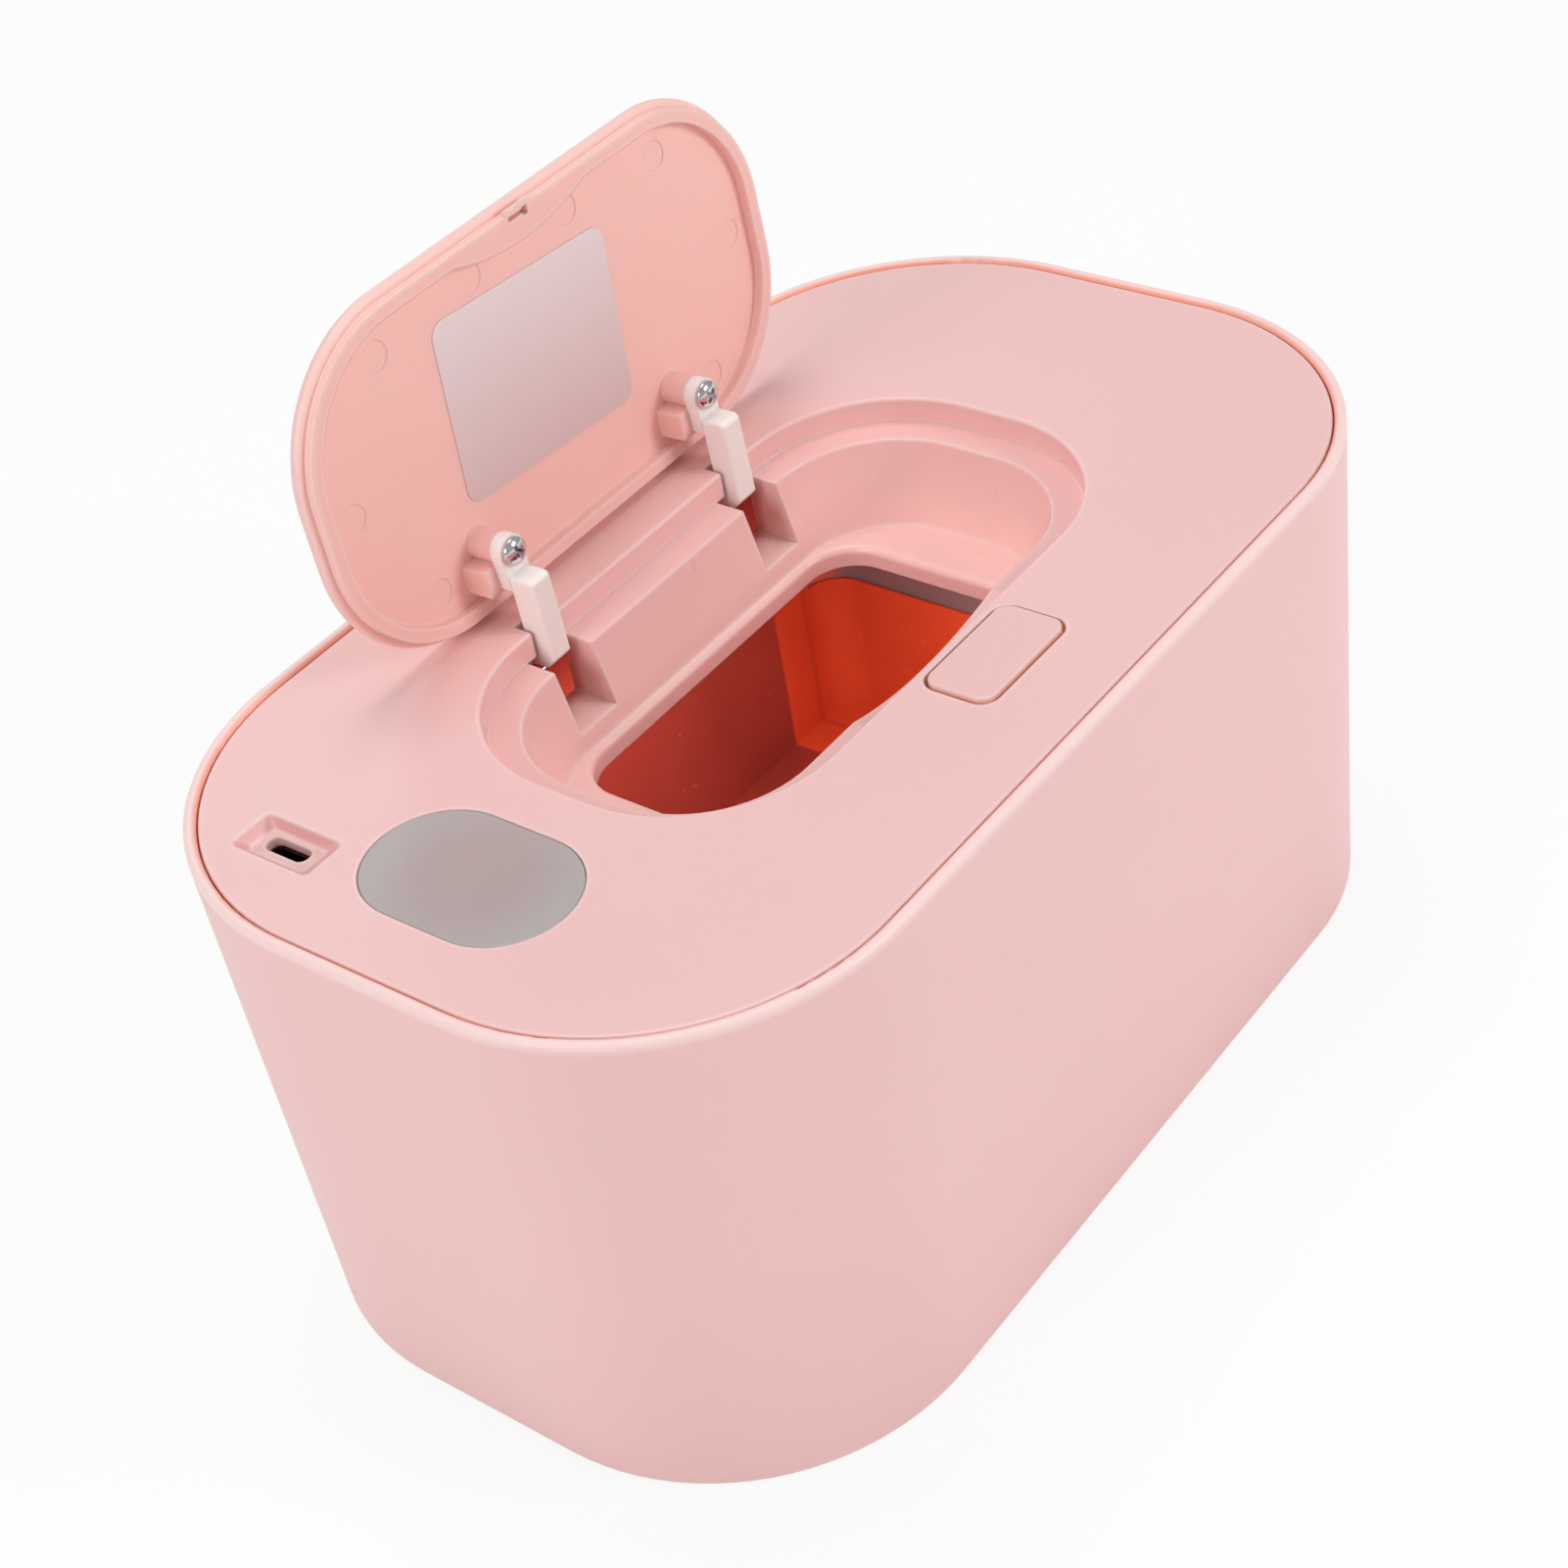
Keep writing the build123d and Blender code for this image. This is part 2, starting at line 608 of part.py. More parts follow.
def hinge_pin(x):
    """Pin through both ears and the arm's eye."""
    with BuildPart() as pin:
        x0 = x - arm_bar / 2 - spring_room - ear_thick - 0.6
        x1 = x + arm_bar / 2 + side_play + ear_thick + 0.6
        with BuildSketch(Plane.YZ.offset(x0)) as section:
            with Locations((hinge_y, hinge_z)):
                Circle(pin_radius)
        extrude(amount=x1 - x0)
        chamfer(pin.faces().sort_by(Axis.X)[0].edges() + pin.faces().sort_by(Axis.X)[-1].edges(), 0.3)
    return pin.part


def torsion_spring(x):
    """Coil on the pin with one leg up to the panel and a bent one under the arm."""
    x0 = x - arm_bar / 2 - spring_room + side_play
    length = spring_room - 2 * side_play - spring_wire
    frame = Plane(origin=(x0 + spring_wire / 2, hinge_y, hinge_z), x_dir=(0, 0, -1), z_dir=(1, 0, 0))
    path = Helix(pitch=length / spring_turns, height=length, radius=spring_mean).moved(Location(frame))
    start = path @ 0
    bend_y = hinge_y - spring_leg
    with BuildPart() as spring:
        with BuildSketch(Plane(origin=start, z_dir=path % 0)) as wire_section:
            RegularPolygon(spring_wire / 2, 6)
        sweep(wire_section.sketch, path=path, is_frenet=True)
        ends = spring.faces().filter_by(GeomType.PLANE).sort_by(Axis.X)
        first, last = ends[0], ends[-1]
        with BuildLine() as leg_line:
            FilletPolyline((start.X, start.Y, start.Z), (start.X, bend_y, start.Z),
                           (x0 + spring_room + 1.5, bend_y, start.Z), radius=1.5 * spring_wire)
        sweep(first, path=leg_line.wire())
        extrude(last, amount=panel_under - 0.1 - hinge_z, dir=(0, 0, 1))
    return spring.part


with BuildPart() as hinge_pin_left:
    add(hinge_pin(arm_xs[0]))

with BuildPart() as hinge_pin_right:
    add(hinge_pin(arm_xs[1]))

with BuildPart() as hinge_spring_left:
    add(torsion_spring(arm_xs[0]))

with BuildPart() as hinge_spring_right:
    add(torsion_spring(arm_xs[1]))

# =============================== release button ===============================
with BuildPart() as release_button:
    slab(button_length, button_width, button_radius, button_low, button_top, center=(0, button_y))
    fillet(release_button.faces().sort_by(Axis.Z)[-1].edges(), button_round)
    with BuildSketch(Plane.XY.offset(button_low)) as flange:
        with Locations((0, button_y - flange_width / 2)):
            RectangleRounded(button_length + 2 * flange_width, button_width + flange_width, button_radius)
    extrude(amount=flange_thick)
    slab(button_length - 2 * button_wall, button_width - 2 * button_wall, button_radius - button_wall,
         button_low, button_top - button_wall, Mode.SUBTRACT, center=(0, button_y))
    for x0 in (leg_inner, -leg_inner - leg_width):
        side_profile([(leg_front, button_top - button_wall), (leg_front, leg_knee),
                      (leg_front + wedge * (leg_knee - leg_tip), leg_tip), (leg_rear, leg_tip),
                      (leg_rear, button_top - button_wall)], x0, x0 + leg_width)
    posts([(0, button_y)], 1.6, button_top - button_wall - 3.0, button_top - button_wall)

# =============================== latch slider ===============================
slider_front = leg_front - 6.0
slider_rear = hook_front - 0.5
with BuildPart() as latch_slider:
    box(-slider_half, slider_half, slider_front, slider_rear, slider_low, slider_top)
    box(-hook_half, hook_half, slider_rear, hook_rear, slider_low, slider_top)
    side_profile([(hook_front, slider_low), (hook_rear, slider_low), (hook_rear, nib_low),
                  (hook_rear + hook_nib, nib_low), (hook_rear + hook_nib, nib_low + 0.2),
                  (hook_rear, hook_top), (hook_front, hook_top)], -hook_half, hook_half)
    for x0 in (leg_inner, -leg_inner - leg_width):
        slot_front = leg_front - 0.12
        side_profile([(slot_front + wedge * (leg_knee - slider_low), slider_low),
                      (slot_front + wedge * (leg_knee - slider_top), slider_top),
                      (leg_rear + latch_travel + 0.4, slider_top),
                      (leg_rear + latch_travel + 0.4, slider_low)],
                     x0 - 0.2, x0 + leg_width + 0.2, Mode.SUBTRACT)
    slab(7.0, 7.0, 1.0, slider_low, slider_top, Mode.SUBTRACT, center=(0, button_y + latch_travel / 2))

# =============================== latch bracket ===============================
spring_wall = slider_front - 4.5
with BuildPart() as latch_bracket:
    outer_half = slider_half + 2.0
    box(-outer_half, outer_half, spring_wall - 1.5, slider_rear, bracket_low, bracket_top)
    box(-outer_half, outer_half, spring_wall - 1.5, spring_wall, bracket_top, slider_top + 1.2)
    for sx in (-1, 1):
        box(sx * (slider_half - 2.0), sx * outer_half, spring_wall, slider_rear, bracket_top,
            slider_low - slide_play)
        box(sx * (slider_half + 0.3), sx * outer_half, spring_wall, slider_rear, slider_low - slide_play,
            slider_top + 1.2)
        box(sx * (slider_half - 1.0), sx * outer_half, leg_front - 4.0, slider_rear - 2.7, slider_top + 0.2,
            slider_top + 1.2)
        with BuildSketch(Plane.XY.offset(bracket_top - 0.5)) as bracket_ear:
            for y in (bracket_rear_y, bracket_front_y):
                with Locations((sx * bracket_x, y)):
                    Circle(3.0)
                with Locations((sx * (bracket_x + outer_half - 0.3) / 2, y)):
                    Rectangle(bracket_x - outer_half + 0.3, 6.0)
        extrude(amount=1.5)
    posts([(0, button_y)], 1.6, bracket_top, bracket_top + 3.0)
    posts(bracket_points, small_screw + screw_clear, bracket_top - 0.5, bracket_top + 1.0, Mode.SUBTRACT)

with BuildPart() as bracket_screws:
    pan_screw(bracket_points, small_screw, small_head, small_head_thick, bracket_top - 0.5, bracket_top + 6.0)

with BuildPart() as button_spring:
    coil((0, button_y, bracket_top), (0, 0, 1), button_top - button_wall - bracket_top, 2.2, 0.5, 5)

with BuildPart() as latch_spring:
    coil((0, spring_wall, slider_low + slider_thick / 2), (0, 1, 0), slider_front - spring_wall, 1.6, 0.4, 4)

# =============================== display ===============================
with BuildPart() as display_window:
    with BuildSketch(Plane.XY.offset(panel_under)) as lens:
        with Locations(Location((window_x, 0), 90)):
            SlotOverall(window_length, window_width)
    extrude(amount=panel_thick - 0.05)
    fillet(display_window.faces().sort_by(Axis.Z)[-1].edges(), 0.3)
    with BuildSketch(Plane.XY.offset(panel_under - 1.0)) as lens_flange:
        with Locations(Location((window_x, 0), 90)):
            SlotOverall(window_length + 2 * window_lip, window_width + 2 * window_lip)
    extrude(amount=1.0)

with BuildPart() as display_module:
    box(board_x0 + 8.0, board_x1 - 2.3, -board_half + 5.0, board_half - 5.0, board_top, panel_under - 1.1)

with BuildPart() as control_board:
    box(board_x0, board_x1, -board_half, board_half, board_low, board_top)
    posts(board_points, small_screw + screw_clear, board_low, board_top, Mode.SUBTRACT)

# =============================== charging socket ===============================
with BuildPart() as usb_socket:
    slab(port_width, port_length, port_width / 2 - 0.05, port_low, port_top, center=(port_x, port_y))
    slab(port_width - 0.64, port_length - 0.64, port_width / 2 - 0.37, port_low + 1.0, port_top,
         Mode.SUBTRACT, center=(port_x, port_y))
    box(port_x - 0.35, port_x + 0.35, port_y - 3.35, port_y + 3.35, port_low + 1.0, port_top - 0.8)

with BuildPart() as usb_board:
    box(usb_board_x0, usb_board_x1, usb_board_y0, usb_board_y1, usb_board_low, port_low)
    posts(usb_points, small_screw - 0.2 + screw_clear, usb_board_low, port_low, Mode.SUBTRACT)

with BuildPart() as board_screws:
    pan_screw(board_points, small_screw, small_head, small_head_thick, board_low, board_top + 4.5)
    pan_screw(usb_points, small_screw - 0.2, small_head - 0.3, small_head_thick, usb_board_low,
              port_low + 4.5)

with BuildPart() as power_leads:
    for x in (usb_board_x0 + 3.0, usb_board_x0 + 5.0):
        with BuildSketch(Plane.XZ.offset(-board_half)) as lead:
            with Locations((x, (board_low + port_low) / 2)):
                Circle(0.4)
        extrude(amount=-(usb_board_y0 - board_half))

# =============================== liner tank ===============================
with BuildPart() as liner_tank:
    outer_x = tank_length + 2 * tank_wall
    outer_y = tank_width + 2 * tank_wall
    slab(outer_x, outer_y, tank_radius + tank_wall, tank_lift, tank_top)
    fillet(liner_tank.faces().sort_by(Axis.Z)[0].edges(), 1.2)
    slab(outer_x + 2 * tank_flange, outer_y + 2 * tank_flange, tank_radius + tank_wall + tank_flange,
         flange_under, tank_top)
    posts(tank_points, 4.0, flange_under, tank_top)
    slab(tank_length, tank_width, tank_radius, tank_floor, tank_top, Mode.SUBTRACT)
    posts(tank_points, screw_radius + screw_clear, flange_under, tank_top, Mode.SUBTRACT)

with BuildPart() as tank_screws:
    pan_screw(tank_points, screw_radius, screw_head, screw_head_thick, flange_under, tank_top + 7.0)

# =============================== heating film ===============================
film_x = tank_length / 2 - film_gap
film_y = tank_width / 2 - film_gap
film_corner = tank_radius - film_gap
film_low = tank_floor + film_gap
film_top = film_low + film_height
flap_top = film_low + flap_height
with BuildPart() as heating_film:
    slab(2 * film_x, 2 * film_y, film_corner, film_low, film_top)
    slab(2 * (film_x - film_thick), 2 * (film_y - film_thick), film_corner - film_thick,
         film_low + film_thick, film_top, Mode.SUBTRACT)
    # Lower end flaps, the left one with the tab that carries the leads.
    for sx in (-1, 1):
        box(sx * (film_x - film_corner), sx * (film_x + 1.0), -film_y - 1.0, film_y + 1.0,
            flap_top, film_top + 1.0, Mode.SUBTRACT)
    box(-film_x, -film_x + film_thick, -tab_half_width, tab_half_width, flap_top, tank_top - tab_below_top)

with BuildPart() as insulation_sleeve:
    sleeve_x = tank_length + 2 * (tank_wall + sleeve_gap)
    sleeve_y = tank_width + 2 * (tank_wall + sleeve_gap)
    sleeve_r = tank_radius + tank_wall + sleeve_gap
    slab(sleeve_x + 2 * sleeve_thick, sleeve_y + 2 * sleeve_thick, sleeve_r + sleeve_thick,
         tank_lift, sleeve_top)
    slab(sleeve_x, sleeve_y, sleeve_r, tank_lift, sleeve_top, Mode.SUBTRACT)

# Thermal parts on the inner face of the left flap.
sensor_x = -film_x + film_thick
with BuildPart() as temperature_sensor:
    box(sensor_x, sensor_x + sensor_thick, sensor_side - sensor_width / 2, sensor_side + sensor_width / 2,
        film_low + sensor_height - sensor_length / 2, film_low + sensor_height + sensor_length / 2)
    fillet(temperature_sensor.edges().filter_by(Axis.Z), 0.5)

with BuildPart() as thermal_fuse:
    with BuildSketch(Plane.XZ.offset(sensor_side)) as fuse_section:
        with Locations((sensor_x + fuse_radius, film_low + sensor_height)):
            Circle(fuse_radius)
    extrude(amount=-fuse_length)

with BuildPart() as heater_leads:
    posts([(-film_x + film_thick / 2, side * tab_half_width / 2) for side in (-1, 1)], 0.6,
          tank_top - tab_below_top, board_low)

# =============================== base ===============================
with BuildPart() as base_plate:
    base_inset = wall + base_gap
    slab(hem_length - 2 * base_inset, hem_width - 2 * base_inset, hem_corner - base_inset,
         base_lift, base_top)
    rib_top = tank_lift - 0.3
    for x in (-tank_length / 3, 0.0, tank_length / 3):
        box(x - 0.9, x + 0.9, -tank_width / 2 + 6.0, tank_width / 2 - 6.0, base_top, rib_top)
    for y in (-tank_width / 4, tank_width / 4):
        box(-tank_length / 2 + 8.0, tank_length / 2 - 8.0, y - 0.9, y + 0.9, base_top, rib_top)
    posts(boss_points, boss_radius, base_top, boss_low)
    posts(boss_points, screw_head + 0.3, base_lift, base_top - 0.2, Mode.SUBTRACT)
    posts(boss_points, screw_radius + screw_clear, base_lift, boss_low, Mode.SUBTRACT)
    posts(foot_points, foot_radius + 0.1, base_lift, base_lift + 1.0, Mode.SUBTRACT)

with BuildPart() as rubber_feet:
    posts(foot_points, foot_radius, base_lift + 1.0 - foot_thick, base_lift + 1.0)
    fillet(rubber_feet.faces().group_by(Axis.Z)[0].edges(), 0.4)

with BuildPart() as base_screws:
    pan_screw(boss_points, screw_radius, screw_head, screw_head_thick, base_top - 0.2,
              boss_low + base_screw_bite)

with BuildPart() as panel_screws:
    pan_screw(lug_points, screw_radius, screw_head, screw_head_thick, lug_under, panel_under + 0.3)

# =============================== files ===============================
pieces = {
    "outer_shell": outer_shell,
    "top_panel": top_panel,
    "base_plate": base_plate,
    "rubber_feet": rubber_feet,
    "base_screws": base_screws,
    "panel_screws": panel_screws,
    "liner_tank": liner_tank,
    "tank_screws": tank_screws,
    "heating_film": heating_film,
    "insulation_sleeve": insulation_sleeve,
    "temperature_sensor": temperature_sensor,
    "thermal_fuse": thermal_fuse,
    "heater_leads": heater_leads,
    "power_leads": power_leads,
    "control_board": control_board,
    "display_module": display_module,
    "display_window": display_window,
    "usb_socket": usb_socket,
    "usb_board": usb_board,
    "board_screws": board_screws,
    "latch_bracket": latch_bracket,
    "bracket_screws": bracket_screws,
    "hinge_pin_left": hinge_pin_left,
    "hinge_pin_right": hinge_pin_right,
    "hinge_spring_left": hinge_spring_left,
    "hinge_spring_right": hinge_spring_right,
    "button_spring": button_spring,
    "latch_spring": latch_spring,
    "lid": lid,
    "lid_label": lid_label,
    "hinge_arm_left": hinge_arm_left,
    "hinge_arm_right": hinge_arm_right,
    "arm_screws": arm_screws,
    "release_button": release_button,
    "latch_slider": latch_slider,
}

for label, piece in pieces.items():
    piece.part.label = label
    export_step(piece.part, "parts/" + label + ".step")
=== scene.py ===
import bpy
import bmesh
import json
import math
from mathutils import Matrix, Quaternion, Vector


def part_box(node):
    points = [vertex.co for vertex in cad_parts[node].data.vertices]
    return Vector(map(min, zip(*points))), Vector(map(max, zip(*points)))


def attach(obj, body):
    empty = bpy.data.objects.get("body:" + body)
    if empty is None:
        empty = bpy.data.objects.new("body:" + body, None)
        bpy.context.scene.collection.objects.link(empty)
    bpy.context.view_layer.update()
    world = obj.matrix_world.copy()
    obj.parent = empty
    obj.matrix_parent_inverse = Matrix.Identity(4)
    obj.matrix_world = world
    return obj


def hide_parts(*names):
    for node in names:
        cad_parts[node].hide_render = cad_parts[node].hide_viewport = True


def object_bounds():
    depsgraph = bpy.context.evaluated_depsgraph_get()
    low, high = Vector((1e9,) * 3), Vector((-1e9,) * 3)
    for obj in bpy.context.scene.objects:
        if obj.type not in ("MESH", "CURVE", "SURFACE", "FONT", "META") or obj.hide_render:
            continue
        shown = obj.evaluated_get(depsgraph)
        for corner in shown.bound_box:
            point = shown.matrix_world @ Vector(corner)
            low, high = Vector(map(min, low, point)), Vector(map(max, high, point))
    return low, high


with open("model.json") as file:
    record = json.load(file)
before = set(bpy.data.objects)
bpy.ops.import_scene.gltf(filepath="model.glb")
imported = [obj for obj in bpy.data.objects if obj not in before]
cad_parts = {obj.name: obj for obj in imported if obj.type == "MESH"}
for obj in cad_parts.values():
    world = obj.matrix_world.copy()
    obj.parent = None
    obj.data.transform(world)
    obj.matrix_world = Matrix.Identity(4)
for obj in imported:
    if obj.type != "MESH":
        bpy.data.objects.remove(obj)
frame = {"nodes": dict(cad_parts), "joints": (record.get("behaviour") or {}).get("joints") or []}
cad_box = [list(corner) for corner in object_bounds()]
nodes = frame["nodes"]
scene = bpy.context.scene

# ------------------------------------------------------------------ levels and sizes, in metres
# The record gives the hinge: the model rests open, and the closed lid is the whole range away.
hinge_row = next(row for row in frame["joints"] if row["name"] == "lid_hinge")
HINGE = Vector(hinge_row["pos_m"])
OPEN_ANGLE = math.radians(hinge_row["range_deg"][1])

# Levels above the feet, and the walls that the colours turn at. Lid pieces count as closed.
LID_UNDER = 0.1012          # inner face of the lid's web
PANEL_TOP = 0.1034          # outer face of the top panel
SEAT = 0.0984               # ledge that the closed lid rests over
WALL = 0.0022               # thickness of the shell at its rim
WELL_BACK = 0.0337          # back wall of the recess; the wells go on behind it
TANK_BACK = 0.0550          # just in front of the tank's back wall
LABEL_BACK, LABEL_FRONT = 0.0139, -0.0199   # ends of the label
FILM_ZONE_X = 0.054         # the film is darker to the left of this
FILM_FOLD_X = 0.0645        # a crease from top to bottom

# The shell's rounded outline, seen from above.
HALF_LENGTH = max(cad_box[1][0], -cad_box[0][0])
HALF_WIDTH = -cad_box[0][1]
CORNER = 0.0498             # radius

# Zones of colour: where each one is 0 and where it is full, measured from a level or wall.
LIP_INSET = (0.0008, 0.0002)            # inner face of the shell's rim, from the wall
LIP_LEVELS = (-0.0050, -0.0040)         # the same face, from PANEL_TOP
RIM_HIGHLIGHT_LEVELS = (-0.0016, -0.0002)         # painted highlight band at the top of the shell
SEAM_INSET = (-0.0009, -0.0005)         # edge of the panel, from the wall
SEAM_LEVELS = (-0.0002, -0.0005)        # anything that leaves the panel's flat top
SUNK_LEVELS = (-0.0008, -0.0030)        # recess, from PANEL_TOP
BOWL_LEVELS = (-0.0010, -0.0120)        # bowl, from SEAT
WELL_LEVELS = (-0.0004, -0.0015)        # hinge wells, from SEAT
WELL_YS = (-0.0025, 0.0010)             # hinge wells, from WELL_BACK
LEDGE_LEVELS = (0.0, 0.0003)            # flat top behind the lid, from SEAT
LEDGE_YS = (-0.0060, 0.0010)            # the same, from WELL_BACK
LEDGE_XS = (0.0620, 0.0480)             # the same, from the middle
SIDE_LEVELS = (0.0003, -0.0001)         # sides of the button, from PANEL_TOP
THICK_LEVELS = (-0.0002, -0.0010)       # ring, land and bosses of the lid, from LID_UNDER
OUTSIDE_LEVELS = (0.0004, 0.0012)       # outer face of the lid, from LID_UNDER
TANK_BACK_YS = (-0.0040, 0.0)           # from TANK_BACK
FILM_ZONE_XS = (0.0012, 0.0004)         # from FILM_ZONE_X
FILM_FOLD_XS = (0.0011, 0.0003)         # half width of the crease, from FILM_FOLD_X
WINDOW_RIM_ENDS = (0.0110, 0.0190)      # lighter rim of the window, from its middle

# How far a noise moves the border of a zone.
FILM_WAVE = 0.0015
WINDOW_WAVE = 0.004
LABEL_WAVE = 0.008

# How strongly a zone shows, where it is not full.
RIM_HIGHLIGHT_SHARE = 0.6
FILM_FOLD_SHARE = 0.5
FILM_DUST_SHARE = 0.35

# Rectangles in plan, round the button's opening (centre, x and y) and the charging slot's recess,
# whose walls get painted shade.
BUTTON_PATCH = ((0.0, -0.0425), (0.0145, 0.0140), (0.0078, 0.0075))
PORT_XS = (0.0075, 0.0070)              # from the socket's middle
PORT_YS = (0.0125, 0.0120)
PORT_FLOOR_LEVELS = (-0.0020, -0.0024)  # its floor, from PANEL_TOP

# Arm screws, with the lid closed.
SCREW_SEAT = 0.0039         # below the hinge axis
SCREW_REACH = 0.0207        # in front of the hinge axis
SCREW_TURNS = ((-0.027, 22), (0.027, 48))   # x, and the angle of the cross in degrees
HEAD_RADIUS = 0.00265
HEAD_HEIGHT = 0.0017
HEAD_SIDE = HEAD_HEIGHT * 0.30              # straight part of the head, below its dome
DOME_STEPS = 8
SHANK_RADIUS = 0.0010
SHANK_LENGTH = 0.0070
TIP = ((0.6, 0.0006), (1.0, 0.0014))        # share of the shank's radius, height above its end
CROSS = ((1.2, 0.68, 0.19), (0.15, 0.24, 0.07))     # height and half sizes, as shares of the head
SHARP_ANGLE = 32                            # degrees; edges above it are not smoothed
SQUARE = ((-1, -1), (1, -1), (1, 1), (-1, 1))   # signs of a rectangle's corners, in order

# ------------------------------------------------------------------ colours, sRGB as they are seen
BODY = (0.944, 0.770, 0.761)
BUTTON = (0.935, 0.762, 0.748)
# painted bounce light, in the recess and on the ledge behind the lid
PAINTED_BOUNCE_TONE = (0.954, 0.768, 0.755)
# painted warm light, standing in for light through the thin plastic, in the seam round the panel
# and on the shell's inner lip
PAINTED_SEAM_GLOW = (1.000, 0.680, 0.600)
# painted warm light on the button's sides and round its opening
PAINTED_BUTTON_GLOW = (1.000, 0.790, 0.700)
# painted shade on the walls of the charging slot's recess
PAINTED_PORT_SHADE = (0.900, 0.680, 0.670)
# painted highlight, mixed in along edges and in the band at the shell's rim
PAINTED_EDGE_HIGHLIGHT = (1.000, 0.900, 0.880)
# painted red glow, standing in for light from the red film, in the hinge wells and on the tank's
# back wall
PAINTED_RED_GLOW = (0.800, 0.320, 0.260)
PANEL = (0.938, 0.770, 0.762)
# painted light: the bowl made lighter against the shade that the open lid casts into it
PAINTED_BOWL_LIGHT = (0.980, 0.804, 0.783)
# painted warm light on the lid's thin web
PAINTED_WEB_GLOW = (1.000, 0.800, 0.764)
RING = (0.985, 0.785, 0.757)
# painted shade: the tank's wall, grey-brown as it looks in shadow
PAINTED_TANK_SHADE = (0.500, 0.385, 0.385)
FILM_BRIGHT = ((0.76, 0.25, 0.14), (0.86, 0.31, 0.18))
FILM_DARK = ((0.53, 0.19, 0.15), (0.59, 0.21, 0.17))
# painted shade along the film's crease
PAINTED_CREASE_SHADE = (0.68, 0.20, 0.12)
FILM_DUST = (0.82, 0.45, 0.40)
WINDOW_MIDDLE = ((0.690, 0.632, 0.633), (0.704, 0.642, 0.642))
WINDOW_RIM = (0.702, 0.674, 0.672)
# painted sheen on the label: darker at its back end, lighter at its front end
LABEL_REAR_PAINTED_SHADE = (0.865, 0.762, 0.762)
LABEL_FRONT_PAINTED_SHEEN = (0.925, 0.868, 0.868)
WHITE = (1.0, 1.0, 1.0, 1.0)

# ------------------------------------------------------------------ finish of the mouldings
CLOUD_SCALE = 14.0          # flow clouds in the colour
GLOSS_SCALE = 2.6 * CLOUD_SCALE
GLOSS_SWING = 0.10          # how much the roughness varies
GRAIN_STRENGTH = 0.35
PANEL_ROUGH = 0.44
SUNK_ROUGH = 0.28           # the panel's recess, glossier
METAL_WORN = 0.88           # scratches, as a share of the metal's colour
DUST_LEVEL = 0.735          # a speck shows where the noise is above this
TONE_ENDS = (0.3, 0.7)      # the noise values between which one tone turns into the other
SKIN_RADIUS = (1.0, 0.45, 0.35)     # reach of red, green and blue light in the plastic
BEVEL_SAMPLES = 4
HIGHLIGHT_REACH = 2.2             # width of the painted edge highlights, in edge radii
HIGHLIGHT_TURN = (0.99, 0.90)     # cosine between the soft and the true normal


# ------------------------------------------------------------------ node helpers
def lin(colour):
    """sRGB as it is seen to the linear colour that a node takes."""
    return tuple(v / 12.92 if v <= 0.04045 else ((v + 0.055) / 1.055) ** 2.4
                 for v in colour) + (1.0,)


def emptied(owner):
    """The node tree of a material or world, with nothing in it."""
    owner.use_nodes = True
    owner.node_tree.nodes.clear()
    return owner.node_tree


def new_mat(name):
    mat = bpy.data.materials.new(name)
    nt = emptied(mat)
    out = nt.nodes.new("ShaderNodeOutputMaterial")
    bsdf = nt.nodes.new("ShaderNodeBsdfPrincipled")
    nt.links.new(bsdf.outputs[0], out.inputs["Surface"])
    return mat, nt, bsdf


def feed(nt, socket, value):
    """Gives a socket a constant or another node's output."""
    if isinstance(value, (int, float, tuple)):
        socket.default_value = value
    else:
        nt.links.new(value, socket)


def coord(nt):
    return nt.nodes.new("ShaderNodeTexCoord").outputs["Object"]


def closed_coord(nt):
    """Object coordinates of a lid piece, turned back to the closed lid."""
    turn = nt.nodes.new("ShaderNodeVectorRotate")
    turn.rotation_type = "X_AXIS"
    turn.inputs["Center"].default_value = HINGE
    turn.inputs["Angle"].default_value = OPEN_ANGLE
    nt.links.new(coord(nt), turn.inputs["Vector"])
    return turn.outputs[0]


def axes(nt, vec):
    """The outputs X, Y and Z of a vector."""
    s = nt.nodes.new("ShaderNodeSeparateXYZ")
    nt.links.new(vec, s.inputs[0])
    return s.outputs


def noise(nt, vec, scale, detail=3.0, rough=0.5):
    n = nt.nodes.new("ShaderNodeTexNoise")
    n.inputs["Scale"].default_value = scale
    n.inputs["Detail"].default_value = detail
    n.inputs["Roughness"].default_value = rough
    nt.links.new(vec, n.inputs["Vector"])
    return n.outputs["Fac"]


def two_tone(nt, fac, low, high):
    """From one linear colour to the other over the middle of a noise."""
    r = nt.nodes.new("ShaderNodeValToRGB")
    for element, place, colour in zip(r.color_ramp.elements, TONE_ENDS, (low, high)):
        element.position = place
        element.color = colour
    nt.links.new(fac, r.inputs[0])
    return r.outputs[0]


def maths(nt, op, a, b=None, c=None, clamp=False):
    m = nt.nodes.new("ShaderNodeMath")
    m.operation = op
    m.use_clamp = clamp
    for socket, value in zip(m.inputs, (a, b, c)):
        if value is not None:
            feed(nt, socket, value)
    return m.outputs[0]


def times(nt, a, b):
    """The product; of two masks, where both hold."""
    return maths(nt, "MULTIPLY", a, b)


def step(nt, value, start, end):
    """0 before start, 1 after end, a straight rise between; end may be below start."""
    gain = 1.0 / (end - start)
    return maths(nt, "MULTIPLY_ADD", value, gain, -start * gain, clamp=True)


def zone(nt, value, origin, ends):
    """step() between two ends measured from an origin."""
    return step(nt, value, origin + ends[0], origin + ends[1])


